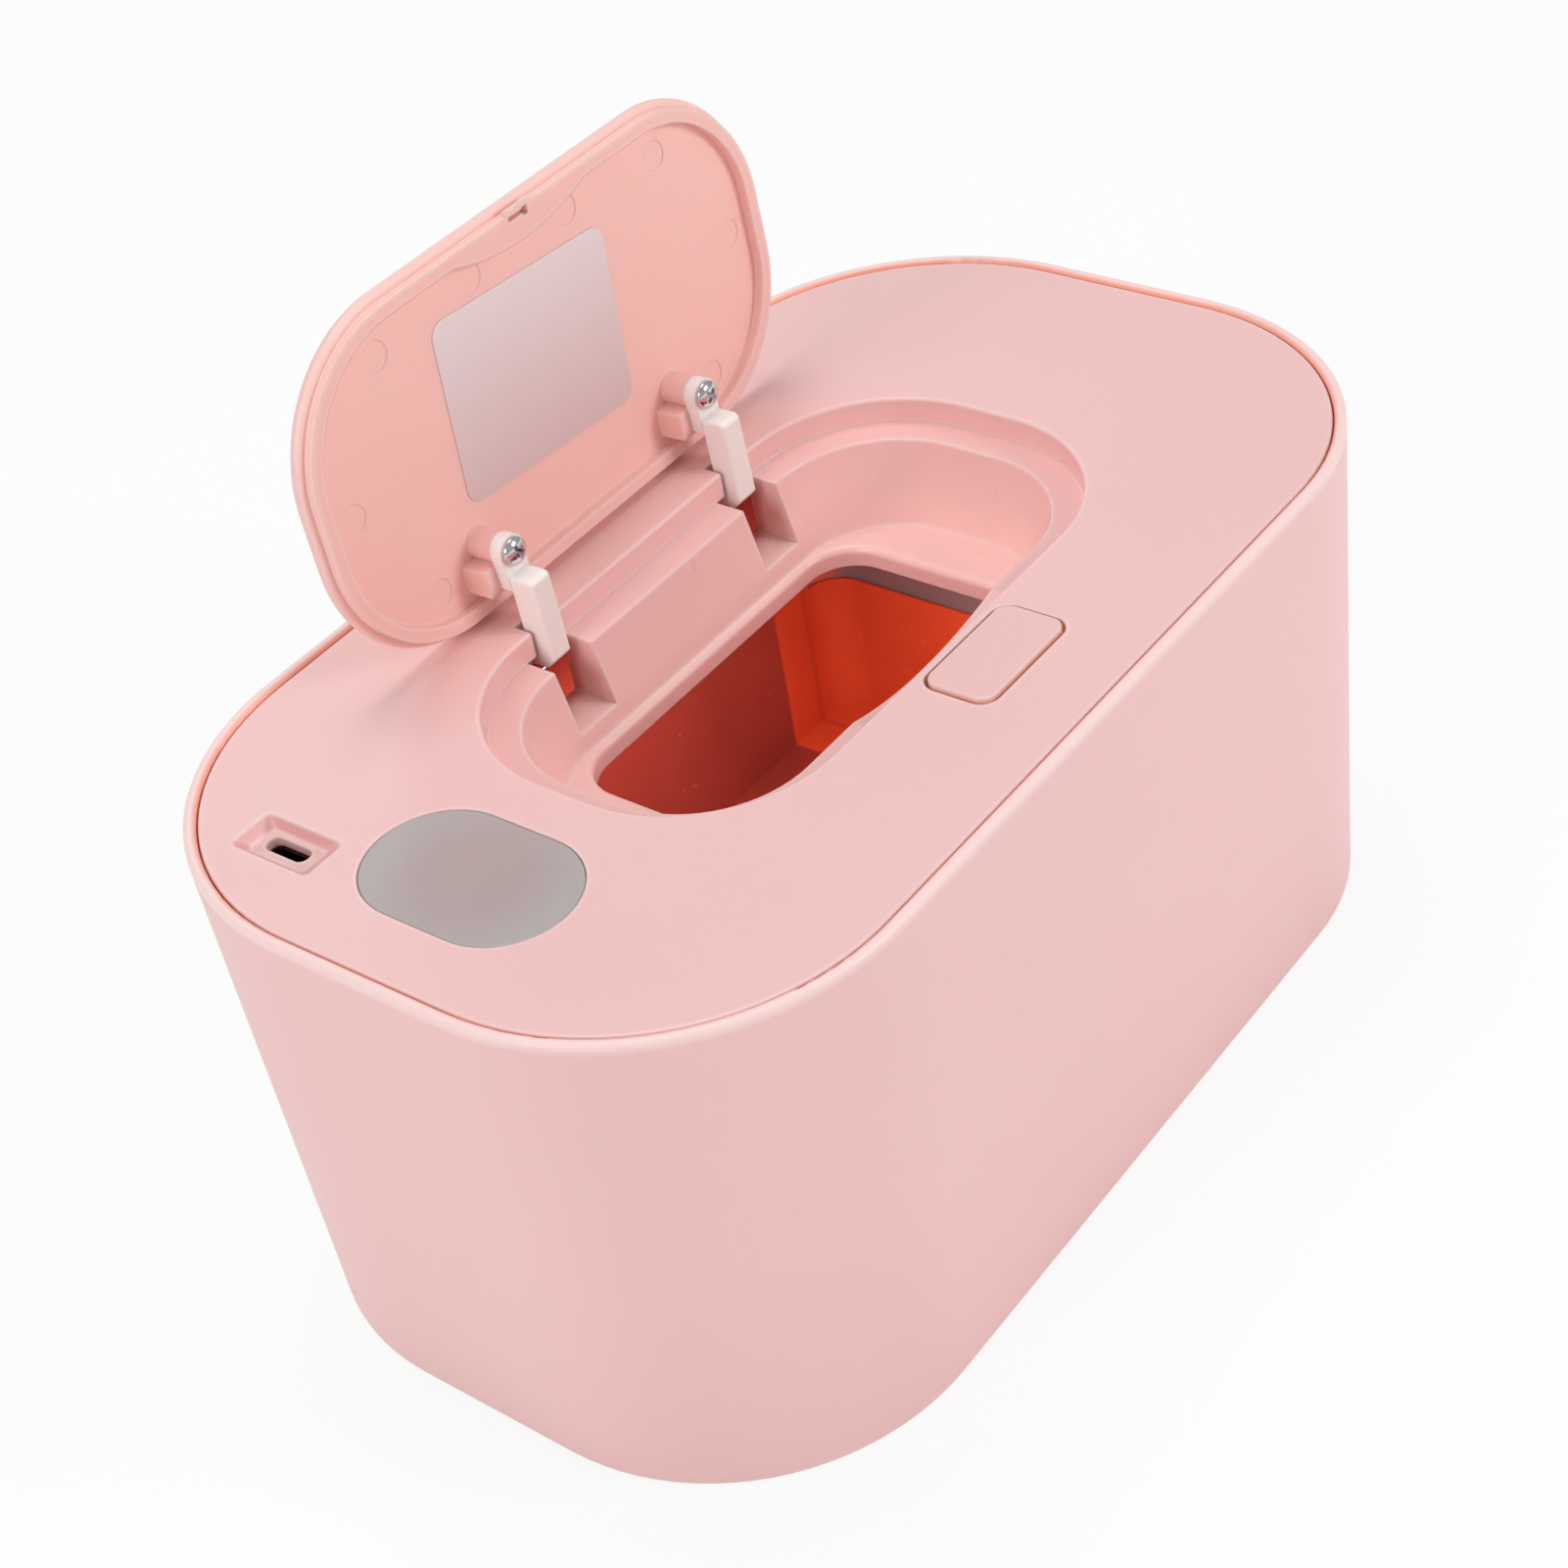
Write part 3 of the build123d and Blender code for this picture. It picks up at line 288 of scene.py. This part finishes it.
def away(nt, value, centre=0.0):
    """Distance of a value from a centre."""
    if centre:
        value = maths(nt, "SUBTRACT", value, centre)
    return maths(nt, "ABSOLUTE", value)


def hypot(nt, a, b):
    return maths(nt, "SQRT", maths(nt, "ADD", times(nt, a, a), times(nt, b, b)))


def patch(nt, x, y, centre, x_ends, y_ends):
    """1 in a rectangle in plan, 0 outside it."""
    return times(nt, zone(nt, away(nt, x, centre[0]), 0.0, x_ends),
                 zone(nt, away(nt, y, centre[1]), 0.0, y_ends))


def box_centre(node_name):
    """Centre of a node's box in plan."""
    low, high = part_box(node_name)
    return [(low[i] + high[i]) / 2 for i in range(2)]


def mix_rgb(nt, fac, a, b, blend="MIX"):
    m = nt.nodes.new("ShaderNodeMix")
    m.data_type = "RGBA"
    m.blend_type = blend
    for i, value in ((0, fac), (6, a), (7, b)):
        feed(nt, m.inputs[i], value)
    return m.outputs[2]


def uneven_gloss(nt, bsdf, fac, swing, rough):
    """Roughness from `rough` up to `swing` more, as a noise says."""
    nt.links.new(maths(nt, "MULTIPLY_ADD", fac, swing, rough), bsdf.inputs["Roughness"])


def soft_normal(nt, radius):
    """The normal, turned near edges as if they were rounded."""
    soft = nt.nodes.new("ShaderNodeBevel")
    soft.samples = BEVEL_SAMPLES
    soft.inputs["Radius"].default_value = radius
    return soft.outputs[0]


def bump(nt, bsdf, height, strength, distance, edge=0.0):
    """Bump from a height, over edges that catch light as if rounded by `edge`."""
    b = nt.nodes.new("ShaderNodeBump")
    b.inputs["Strength"].default_value = strength
    b.inputs["Distance"].default_value = distance
    nt.links.new(height, b.inputs["Height"])
    if edge:
        nt.links.new(soft_normal(nt, edge), b.inputs["Normal"])
    nt.links.new(b.outputs[0], bsdf.inputs["Normal"])


def painted_edge_highlights(nt, colour, width, amount):
    """The colour with a painted highlight along edges, where the moulding is rounded."""
    turned = nt.nodes.new("ShaderNodeVectorMath")
    turned.operation = "DOT_PRODUCT"
    nt.links.new(soft_normal(nt, width), turned.inputs[0])
    nt.links.new(nt.nodes.new("ShaderNodeNewGeometry").outputs["Normal"], turned.inputs[1])
    near = step(nt, turned.outputs["Value"], *HIGHLIGHT_TURN)
    return mix_rgb(nt, times(nt, near, amount), colour, lin(PAINTED_EDGE_HIGHLIGHT))


# ------------------------------------------------------------------ plastics and metals
def mould_finish(nt, bsdf, vec, colour, rough, spread=0.012, grain=2600.0, depth=0.000012,
                 edge=0.0, edge_highlight=0.0):
    """Faint flow clouds in the colour, fine spark-eroded grain, uneven gloss, painted highlights on
    edges.
    """
    # painted highlight along the edges
    if edge_highlight:
        colour = painted_edge_highlights(nt, colour, HIGHLIGHT_REACH * edge, edge_highlight)
    cloud = noise(nt, vec, CLOUD_SCALE, detail=4.0, rough=0.55)
    shade = two_tone(nt, cloud, (1 - 2 * spread,) * 3 + (1.0,), WHITE)
    tinted = mix_rgb(nt, 1.0, colour, shade, blend="MULTIPLY")
    nt.links.new(tinted, bsdf.inputs["Base Color"])
    uneven = maths(nt, "MULTIPLY_ADD", noise(nt, vec, GLOSS_SCALE), GLOSS_SWING, -GLOSS_SWING / 2)
    nt.links.new(maths(nt, "ADD", uneven, rough), bsdf.inputs["Roughness"])
    bump(nt, bsdf, noise(nt, vec, grain, detail=2.0, rough=0.6), GRAIN_STRENGTH, depth, edge)


def translucent(bsdf, weight, reach):
    bsdf.inputs["Subsurface Weight"].default_value = weight
    bsdf.inputs["Subsurface Radius"].default_value = SKIN_RADIUS
    bsdf.inputs["Subsurface Scale"].default_value = reach


def plastic(name, colour, rough, milky=None, spec=0.45, **finish):
    """One-coloured plastic; `milky` is the weight and reach of the light inside it."""
    mat, nt, bsdf = new_mat(name)
    mould_finish(nt, bsdf, coord(nt), lin(colour), rough, **finish)
    bsdf.inputs["Specular IOR Level"].default_value = spec
    if milky:
        translucent(bsdf, *milky)
    return mat


def metal(name, colour, rough, scratches=900.0):
    mat, nt, bsdf = new_mat(name)
    bsdf.inputs["Metallic"].default_value = 1.0
    marks = noise(nt, coord(nt), scratches, detail=4.0, rough=0.7)
    worn = [v * METAL_WORN for v in colour]
    nt.links.new(two_tone(nt, marks, lin(worn), lin(colour)), bsdf.inputs["Base Color"])
    uneven_gloss(nt, bsdf, marks, swing=0.14, rough=rough - 0.05)
    bump(nt, bsdf, marks, strength=0.25, distance=0.000015)
    return mat


def inset_in_plan(nt, x, y):
    """How far a point lies from the shell's rounded outline, from above; negative inside."""
    beyond = [maths(nt, "MAXIMUM", maths(nt, "SUBTRACT", away(nt, value), half - CORNER), 0.0)
              for value, half in ((x, HALF_LENGTH), (y, HALF_WIDTH))]
    return maths(nt, "SUBTRACT", hypot(nt, *beyond), CORNER)


def body_material():
    """Shell: satin outside, with a painted highlight band at the rim; the inner lip, a thin wall,
    has painted warm light.
    """
    mat, nt, bsdf = new_mat("body_pink")
    vec = coord(nt)
    x, y, z = axes(nt, vec)
    lip = times(nt, zone(nt, inset_in_plan(nt, x, y), -WALL, LIP_INSET),
                zone(nt, z, PANEL_TOP, LIP_LEVELS))
    # Painted highlight band along the top of the shell; painted warm light on the inner lip.
    rim = times(nt, zone(nt, z, PANEL_TOP, RIM_HIGHLIGHT_LEVELS), RIM_HIGHLIGHT_SHARE)
    colour = mix_rgb(nt, lip, mix_rgb(nt, rim, lin(BODY), lin(PAINTED_EDGE_HIGHLIGHT)), lin(PAINTED_SEAM_GLOW))
    mould_finish(nt, bsdf, vec, colour, rough=0.44, edge=0.0005, edge_highlight=0.50)
    translucent(bsdf, weight=0.08, reach=0.0015)
    return mat


def panel_material():
    """Top panel: satin on the flat top and glossier in the recess; painted bounce light in the
    recess and on the ledge behind the lid, a painted lighter bowl, a painted red glow in the wells,
    painted warm light in the seams and painted shade in the charging slot's recess.
    """
    mat, nt, bsdf = new_mat("panel_pink")
    vec = coord(nt)
    x, y, z = axes(nt, vec)
    below_top = zone(nt, z, PANEL_TOP, SEAM_LEVELS)
    sunk = zone(nt, z, PANEL_TOP, SUNK_LEVELS)
    # hinge wells, where the red glow is painted
    in_well = times(nt, zone(nt, y, WELL_BACK, WELL_YS), zone(nt, z, SEAT, WELL_LEVELS))
    on_ledge = times(nt, zone(nt, y, WELL_BACK, LEDGE_YS), zone(nt, away(nt, x), 0.0, LEDGE_XS))
    at_rim = zone(nt, inset_in_plan(nt, x, y), -WALL, SEAM_INSET)
    at_port = patch(nt, x, y, box_centre("usb_socket"), PORT_XS, PORT_YS)
    colour = lin(PANEL)
    # Painted light and shade: bounce light in the recess, a lighter bowl, red glow in the wells,
    # bounce light on the ledge behind the lid, warm light in the seams round the panel and the
    # button, shade on the charging slot's walls, with its floor back to the panel's colour.
    for mask, tone in (
            (sunk, PAINTED_BOUNCE_TONE),
            (zone(nt, z, SEAT, BOWL_LEVELS), PAINTED_BOWL_LIGHT),
            (in_well, PAINTED_RED_GLOW),
            (times(nt, on_ledge, zone(nt, z, SEAT, LEDGE_LEVELS)), PAINTED_BOUNCE_TONE),
            (times(nt, at_rim, below_top), PAINTED_SEAM_GLOW),
            (times(nt, patch(nt, x, y, *BUTTON_PATCH), below_top), PAINTED_BUTTON_GLOW),
            (times(nt, at_port, below_top), PAINTED_PORT_SHADE),
            (times(nt, at_port, zone(nt, z, PANEL_TOP, PORT_FLOOR_LEVELS)), PANEL)):
        colour = mix_rgb(nt, mask, colour, lin(tone))
    rough = maths(nt, "MULTIPLY_ADD", sunk, SUNK_ROUGH - PANEL_ROUGH, PANEL_ROUGH)
    mould_finish(nt, bsdf, vec, colour, rough, edge=0.0006, edge_highlight=0.75)
    translucent(bsdf, weight=0.10, reach=0.002)
    return mat


def tank_material():
    """Liner tank: painted grey-brown shade, with a painted red glow from the film on the back wall,
    seen in the hinge wells.
    """
    mat, nt, bsdf = new_mat("tank_painted_shade")
    vec = coord(nt)
    # painted shade on the tank, painted red glow on its back wall
    back = zone(nt, axes(nt, vec)["Y"], TANK_BACK, TANK_BACK_YS)
    mould_finish(nt, bsdf, vec, mix_rgb(nt, back, lin(PAINTED_TANK_SHADE), lin(PAINTED_RED_GLOW)), rough=0.40)
    return mat


def button_material():
    """Release button: satin top, with painted warm light on its sides down in its gap."""
    mat, nt, bsdf = new_mat("button_pink")
    vec = coord(nt)
    # painted warm light on the button's sides
    side = zone(nt, axes(nt, vec)["Z"], PANEL_TOP, SIDE_LEVELS)
    colour = mix_rgb(nt, side, lin(BUTTON), lin(PAINTED_BUTTON_GLOW))
    mould_finish(nt, bsdf, vec, colour, rough=0.38, edge=0.0004, edge_highlight=0.50)
    translucent(bsdf, weight=0.08, reach=0.0015)
    return mat


def lid_material():
    """Lid: the thin web has painted warm light, for light coming through it, against the thick
    ring, land and bosses.
    """
    mat, nt, bsdf = new_mat("lid_pink")
    vec = closed_coord(nt)
    z = axes(nt, vec)["Z"]
    # painted warm light on the thin web, the lid's own tone on the thick parts
    colour = mix_rgb(nt, zone(nt, z, LID_UNDER, THICK_LEVELS), lin(PAINTED_WEB_GLOW), lin(RING))
    colour = mix_rgb(nt, zone(nt, z, LID_UNDER, OUTSIDE_LEVELS), colour, lin(PANEL))
    mould_finish(nt, bsdf, vec, colour, rough=0.36, grain=3200.0, edge=0.0006, edge_highlight=0.60)
    translucent(bsdf, weight=0.35, reach=0.003)
    return mat


# ------------------------------------------------------------------ film, window and label
def film_material():
    """Red heating film: bright to the right, a darker zone to the left, painted shade along one
    crease, dust.
    """
    mat, nt, bsdf = new_mat("film_red")
    vec = coord(nt)
    wave = noise(nt, vec, scale=30.0)
    wavy_x = maths(nt, "MULTIPLY_ADD", wave, FILM_WAVE, axes(nt, vec)["X"])
    left = zone(nt, wavy_x, FILM_ZONE_X, FILM_ZONE_XS)
    bright = two_tone(nt, noise(nt, vec, scale=24.0, detail=4.0), *map(lin, FILM_BRIGHT))
    dark = two_tone(nt, noise(nt, vec, scale=40.0, detail=4.0), *map(lin, FILM_DARK))
    fold = zone(nt, away(nt, wavy_x, FILM_FOLD_X), 0.0, FILM_FOLD_XS)
    specks = noise(nt, vec, scale=420.0, detail=2.0, rough=0.4)
    dust = maths(nt, "GREATER_THAN", specks, DUST_LEVEL)
    colour = mix_rgb(nt, left, bright, dark)
    # painted shade along the crease
    colour = mix_rgb(nt, times(nt, fold, FILM_FOLD_SHARE), colour, lin(PAINTED_CREASE_SHADE))
    colour = mix_rgb(nt, times(nt, dust, FILM_DUST_SHARE), colour, lin(FILM_DUST))
    nt.links.new(colour, bsdf.inputs["Base Color"])
    uneven_gloss(nt, bsdf, wave, swing=0.2, rough=0.30)
    bsdf.inputs["Specular IOR Level"].default_value = 0.30
    bump(nt, bsdf, noise(nt, vec, scale=55.0, detail=2.0), strength=0.3, distance=0.0006)
    return mat


def window_material():
    """Display window: smoky grey with a satin face, a little lighter towards its rim."""
    mat, nt, bsdf = new_mat("window_grey")
    vec = coord(nt)
    x, y = axes(nt, vec)[:2]
    haze = noise(nt, vec, scale=18.0)
    centre_x, centre_y = box_centre("display_window")
    far = hypot(nt, away(nt, x, centre_x), away(nt, y, centre_y))
    rim = step(nt, maths(nt, "MULTIPLY_ADD", haze, WINDOW_WAVE, far), *WINDOW_RIM_ENDS)
    middle = two_tone(nt, haze, *map(lin, WINDOW_MIDDLE))
    nt.links.new(mix_rgb(nt, rim, middle, lin(WINDOW_RIM)), bsdf.inputs["Base Color"])
    uneven_gloss(nt, bsdf, haze, swing=0.06, rough=0.20)
    bsdf.inputs["Specular IOR Level"].default_value = 0.35
    bump(nt, bsdf, noise(nt, vec, scale=2400.0, detail=2.0), strength=0.2, distance=0.000006)
    return mat


def label_material():
    """Bare clear-grey film label with a painted sheen, lighter towards the lid's front edge; a
    little uneven where the glue shows through.
    """
    mat, nt, bsdf = new_mat("label_grey")
    vec = closed_coord(nt)
    glue_and_sheen_noise = noise(nt, vec, scale=60.0, detail=5.0, rough=0.6)
    wavy_y = maths(nt, "MULTIPLY_ADD", glue_and_sheen_noise, LABEL_WAVE, axes(nt, vec)["Y"])
    # painted sheen from the label's back to its front, its border made wavy by the noise
    front = zone(nt, wavy_y, LABEL_WAVE / 2, (LABEL_BACK, LABEL_FRONT))
    colour = mix_rgb(nt, front, lin(LABEL_REAR_PAINTED_SHADE), lin(LABEL_FRONT_PAINTED_SHEEN))
    nt.links.new(colour, bsdf.inputs["Base Color"])
    uneven_gloss(nt, bsdf, glue_and_sheen_noise, swing=0.12, rough=0.26)
    bump(nt, bsdf, noise(nt, vec, scale=90.0), strength=0.3, distance=0.00012)
    return mat


# ------------------------------------------------------------------ which node wears which finish
chrome = metal("chrome_bright", (0.90, 0.90, 0.91), 0.08, scratches=600.0)

FINISHES = (
    (body_material(), "outer_shell base_plate"),
    (panel_material(), "top_panel latch_slider"),
    (button_material(), "release_button"),
    (lid_material(), "lid"),
    (plastic("arm_milky", (0.992, 0.960, 0.945), 0.30, milky=(0.25, 0.0015), spec=0.5,
             edge=0.0003), "hinge_arm_left hinge_arm_right"),
    (plastic("foot_rubber", (0.72, 0.69, 0.69), 0.75, spread=0.03, grain=1500.0,
             depth=0.00003), "rubber_feet"),
    (tank_material(), "liner_tank"),
    (plastic("foam_white", (0.92, 0.92, 0.91), 0.85, grain=900.0, depth=0.00008),
     "insulation_sleeve"),
    (plastic("board_green", (0.10, 0.33, 0.18), 0.35, spread=0.08), "control_board usb_board"),
    (plastic("display_dark", (0.16, 0.15, 0.15), 0.2), "display_module"),
    (plastic("socket_black", (0.06, 0.055, 0.06), 0.28, spread=0.08), "usb_socket"),
    (plastic("inner_white", (0.93, 0.90, 0.89), 0.38), "latch_bracket"),
    (plastic("sensor_black", (0.10, 0.10, 0.10), 0.3), "temperature_sensor"),
    (plastic("fuse_white", (0.88, 0.86, 0.82), 0.35), "thermal_fuse"),
    (plastic("lead_red", (0.70, 0.12, 0.09), 0.4), "heater_leads power_leads"),
    (metal("steel_zinc", (0.74, 0.74, 0.73), 0.28),
     "base_screws panel_screws tank_screws board_screws bracket_screws"),
    (metal("pin_steel", (0.46, 0.43, 0.42), 0.45), "hinge_pin_left hinge_pin_right"),
    (chrome, "arm_screws"),
    (metal("spring_steel", (0.62, 0.62, 0.63), 0.25),
     "hinge_spring_left hinge_spring_right button_spring latch_spring"),
    (film_material(), "heating_film"),
    (window_material(), "display_window"),
    (label_material(), "lid_label"),
)
for finish, wearers in FINISHES:
    for node_name in wearers.split():
        for slot in nodes[node_name].material_slots:
            slot.material = finish


# ------------------------------------------------------------------ arm screws with a cross recess
def lathe(mesh, profile, segments=40):
    """Turns (radius, height) points, from one on the axis to another, into a closed solid."""
    angles = [k * math.tau / segments for k in range(segments)]
    loops = []
    for radius, height in profile:
        if radius == 0.0:
            loops.append([mesh.verts.new((0, 0, height))])
        else:
            loops.append([mesh.verts.new((radius * math.cos(a), radius * math.sin(a), height))
                          for a in angles])
    for low, high in zip(loops, loops[1:]):
        for k in range(segments):
            after = (k + 1) % segments
            if len(low) == 1:
                mesh.faces.new((low[0], high[after], high[k]))
            elif len(high) == 1:
                mesh.faces.new((low[k], low[after], high[0]))
            else:
                mesh.faces.new((low[k], low[after], high[after], high[k]))


def cross_cutter(mesh):
    """Two crossed bars that narrow towards the bottom of the recess."""
    for quarter in range(2):
        turn = Matrix.Rotation(quarter * math.pi / 2, 3, "Z")
        rings = []
        for height, long_half, short_half in CROSS:
            corners = [(sx * long_half * HEAD_RADIUS, sy * short_half * HEAD_RADIUS,
                        height * HEAD_HEIGHT) for sx, sy in SQUARE]
            rings.append([mesh.verts.new(turn @ Vector(corner)) for corner in corners])
        top, bottom = rings
        mesh.faces.new(top)
        mesh.faces.new(bottom[::-1])
        for i in range(4):
            after = (i + 1) % 4
            mesh.faces.new((top[after], top[i], bottom[i], bottom[after]))


def mesh_object(name, build):
    """A new object whose mesh `build` draws."""
    work = bmesh.new()
    build(work)
    bmesh.ops.recalc_face_normals(work, faces=work.faces)
    mesh = bpy.data.meshes.new(name)
    work.to_mesh(mesh)
    work.free()
    made = bpy.data.objects.new(name, mesh)
    scene.collection.objects.link(made)
    return made


def screw_mesh():
    """Pan-head screw pointing down -Z, its seat at the origin, with the cross cut into the head."""
    tip = [(SHANK_RADIUS * share, -SHANK_LENGTH + height) for share, height in TIP]
    slopes = [i / DOME_STEPS * math.pi / 2 for i in range(1, DOME_STEPS)]
    dome = [(HEAD_RADIUS * math.cos(a), HEAD_SIDE + (HEAD_HEIGHT - HEAD_SIDE) * math.sin(a))
            for a in slopes]
    profile = [(0.0, -SHANK_LENGTH), *tip, (SHANK_RADIUS, 0.0), (HEAD_RADIUS, 0.0),
               (HEAD_RADIUS, HEAD_SIDE), *dome, (0.0, HEAD_HEIGHT)]
    screw = mesh_object("screw_blank", lambda mesh: lathe(mesh, profile))
    cutter = mesh_object("screw_cutter", cross_cutter)
    cut = screw.modifiers.new("cross", "BOOLEAN")
    cut.operation = "DIFFERENCE"
    cut.object = cutter
    cut.solver = "EXACT"
    cut.use_self = True         # the two bars cross each other
    graph = bpy.context.evaluated_depsgraph_get()
    done = bpy.data.meshes.new_from_object(screw.evaluated_get(graph))
    bpy.data.objects.remove(cutter)
    bpy.data.objects.remove(screw)
    return done


def arm_screw_pair():
    """Both arm screws as one piece, each turned as the photograph shows its cross."""
    to_open = (Matrix.Translation(HINGE) @ Matrix.Rotation(-OPEN_ANGLE, 4, "X")
               @ Matrix.Translation(-HINGE))
    facing_down = Matrix.Rotation(math.pi, 4, "X")
    one = screw_mesh()
    pair = bmesh.new()
    for x, degrees in SCREW_TURNS:
        seat = Vector((x, HINGE.y - SCREW_REACH, HINGE.z - SCREW_SEAT))
        turn = Matrix.Rotation(math.radians(degrees), 4, "Z")
        placed = one.copy()
        placed.transform(to_open @ Matrix.Translation(seat) @ facing_down @ turn)
        pair.from_mesh(placed)
        bpy.data.meshes.remove(placed)
    mesh = bpy.data.meshes.new("arm_screw_pair")
    pair.to_mesh(mesh)
    pair.free()
    for face in mesh.polygons:
        face.use_smooth = True
    mesh.set_sharp_from_angle(angle=math.radians(SHARP_ANGLE))
    mesh.materials.clear()
    mesh.materials.append(chrome)
    made = bpy.data.objects.new("arm_screw_pair", mesh)
    scene.collection.objects.link(made)
    return made


screws = arm_screw_pair()
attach(screws, "lid_body")
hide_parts("arm_screws")


# ------------------------------------------------------------------ floor, light, camera
FLOOR_HALF = 6
FLOOR_PAINT = (0.88, 0.88, 0.88, 1.0)
FLOOR_GLOW = 0.88           # share of plain white in the floor's look
WORLD_STRENGTH = 0.42
AIM = (0, 0, 0.06)
SOFTBOXES = (               # name, place, aim, width, depth, watts, seen by camera and gloss
    ("left_box", (-1.30, 0.10, 0.72), AIM, 0.5, 0.5, 6.7, True),
    ("right_box", (0.55, -1.25, 0.70), AIM, 0.5, 0.5, 8.25, True),
    ("back_box", (0.80, 1.20, 0.80), AIM, 0.5, 0.5, 1.8, True),
    ("top_box", (0.15, 0.25, 1.45), (0, 0, 0.10), 0.55, 0.55, 5.9, True),
    ("tank_glow", (0.0, 0.0, 0.077), (0, 0, 0.0), 0.07, 0.03, 0.115, False),
)

# The camera was fitted to the outlines of the object in the photograph.
CAMERA_TURN = Vector((1.98732996, -1.08303528, 0.338888504))    # rotation vector
CAMERA_SHIFT = Vector((15.7938959, 45.8354440, 567.300302))     # translation, mm
CAMERA_LIFT = Vector((0, 0, 0.35))      # added to the fitted place of the eye, mm
FOCAL_PIXELS = 2985.87565
PHOTO_PIXELS = 1601.0
SENSOR_WIDTH = 36.0
CLIP_START, CLIP_END = 0.01, 50.0
MM_PER_M = 1000.0


def any_ray(nt, *kinds):
    """1 for a ray of any of these kinds, as the Light Path node names them."""
    path = nt.nodes.new("ShaderNodeLightPath")
    share = path.outputs[kinds[0]]
    for kind in kinds[1:]:
        share = maths(nt, "MAXIMUM", share, path.outputs[kind])
    return share


def mixed_to(nt, out, fac, first, second):
    """Two shaders, mixed, to an output node."""
    mix = nt.nodes.new("ShaderNodeMixShader")
    nt.links.new(fac, mix.inputs[0])
    nt.links.new(first.outputs[0], mix.inputs[1])
    nt.links.new(second.outputs[0], mix.inputs[2])
    nt.links.new(mix.outputs[0], out.inputs["Surface"])


def lit_node(nt, kind, strength):
    """A white background or emission shader."""
    shader = nt.nodes.new(kind)
    shader.inputs["Color"].default_value = WHITE
    shader.inputs["Strength"].default_value = strength
    return shader


def white_floor():
    """Floor that looks white to the camera and takes a soft shadow."""
    mesh = bpy.data.meshes.new("floor")
    mesh.from_pydata([(sx * FLOOR_HALF, sy * FLOOR_HALF, 0) for sx, sy in SQUARE], [],
                     [(0, 1, 2, 3)])
    floor = bpy.data.objects.new("floor", mesh)
    scene.collection.objects.link(floor)
    mat = bpy.data.materials.new("floor_white")
    nt = emptied(mat)
    out = nt.nodes.new("ShaderNodeOutputMaterial")
    paint = nt.nodes.new("ShaderNodeBsdfDiffuse")
    paint.inputs["Color"].default_value = FLOOR_PAINT
    seen = any_ray(nt, "Is Camera Ray", "Is Transmission Ray", "Is Glossy Ray")
    white = lit_node(nt, "ShaderNodeEmission", 1.0)
    mixed_to(nt, out, times(nt, seen, FLOOR_GLOW), paint, white)
    mesh.materials.append(mat)


def studio_world():
    """Soft white light all round, and a plain white background to the camera."""
    world = bpy.data.worlds.new("studio")
    scene.world = world
    nt = emptied(world)
    out = nt.nodes.new("ShaderNodeOutputWorld")
    seen = any_ray(nt, "Is Camera Ray", "Is Transmission Ray")
    mixed_to(nt, out, seen, lit_node(nt, "ShaderNodeBackground", WORLD_STRENGTH),
             lit_node(nt, "ShaderNodeBackground", 1.0))


def softbox(name, place, aim, width, depth, watts, seen):
    data = bpy.data.lights.new(name, "AREA")
    data.shape = "RECTANGLE"
    data.size, data.size_y = width, depth
    data.energy = watts
    lamp = bpy.data.objects.new(name, data)
    lamp.location = place
    lamp.rotation_mode = "QUATERNION"
    lamp.rotation_quaternion = (Vector(aim) - Vector(place)).to_track_quat("-Z", "Y")
    lamp.visible_camera = seen
    lamp.visible_glossy = seen
    scene.collection.objects.link(lamp)


def photo_camera():
    """The fitted camera, from its turn, shift and focal length."""
    rotation = Quaternion(CAMERA_TURN.normalized(), CAMERA_TURN.length).to_matrix()
    eye = -(rotation.transposed() @ CAMERA_SHIFT) + CAMERA_LIFT
    data = bpy.data.cameras.new("camera")
    data.sensor_fit = "HORIZONTAL"
    data.sensor_width = SENSOR_WIDTH
    data.lens = FOCAL_PIXELS * SENSOR_WIDTH / PHOTO_PIXELS
    data.clip_start, data.clip_end = CLIP_START, CLIP_END
    camera = bpy.data.objects.new("camera", data)
    place = Matrix((rotation[0], -rotation[1], -rotation[2])).transposed().to_4x4()
    place.translation = eye / MM_PER_M
    camera.matrix_world = place
    scene.collection.objects.link(camera)
    scene.camera = camera


white_floor()
studio_world()
for row in SOFTBOXES:
    softbox(*row)
photo_camera()
scene.view_settings.view_transform = "Standard"
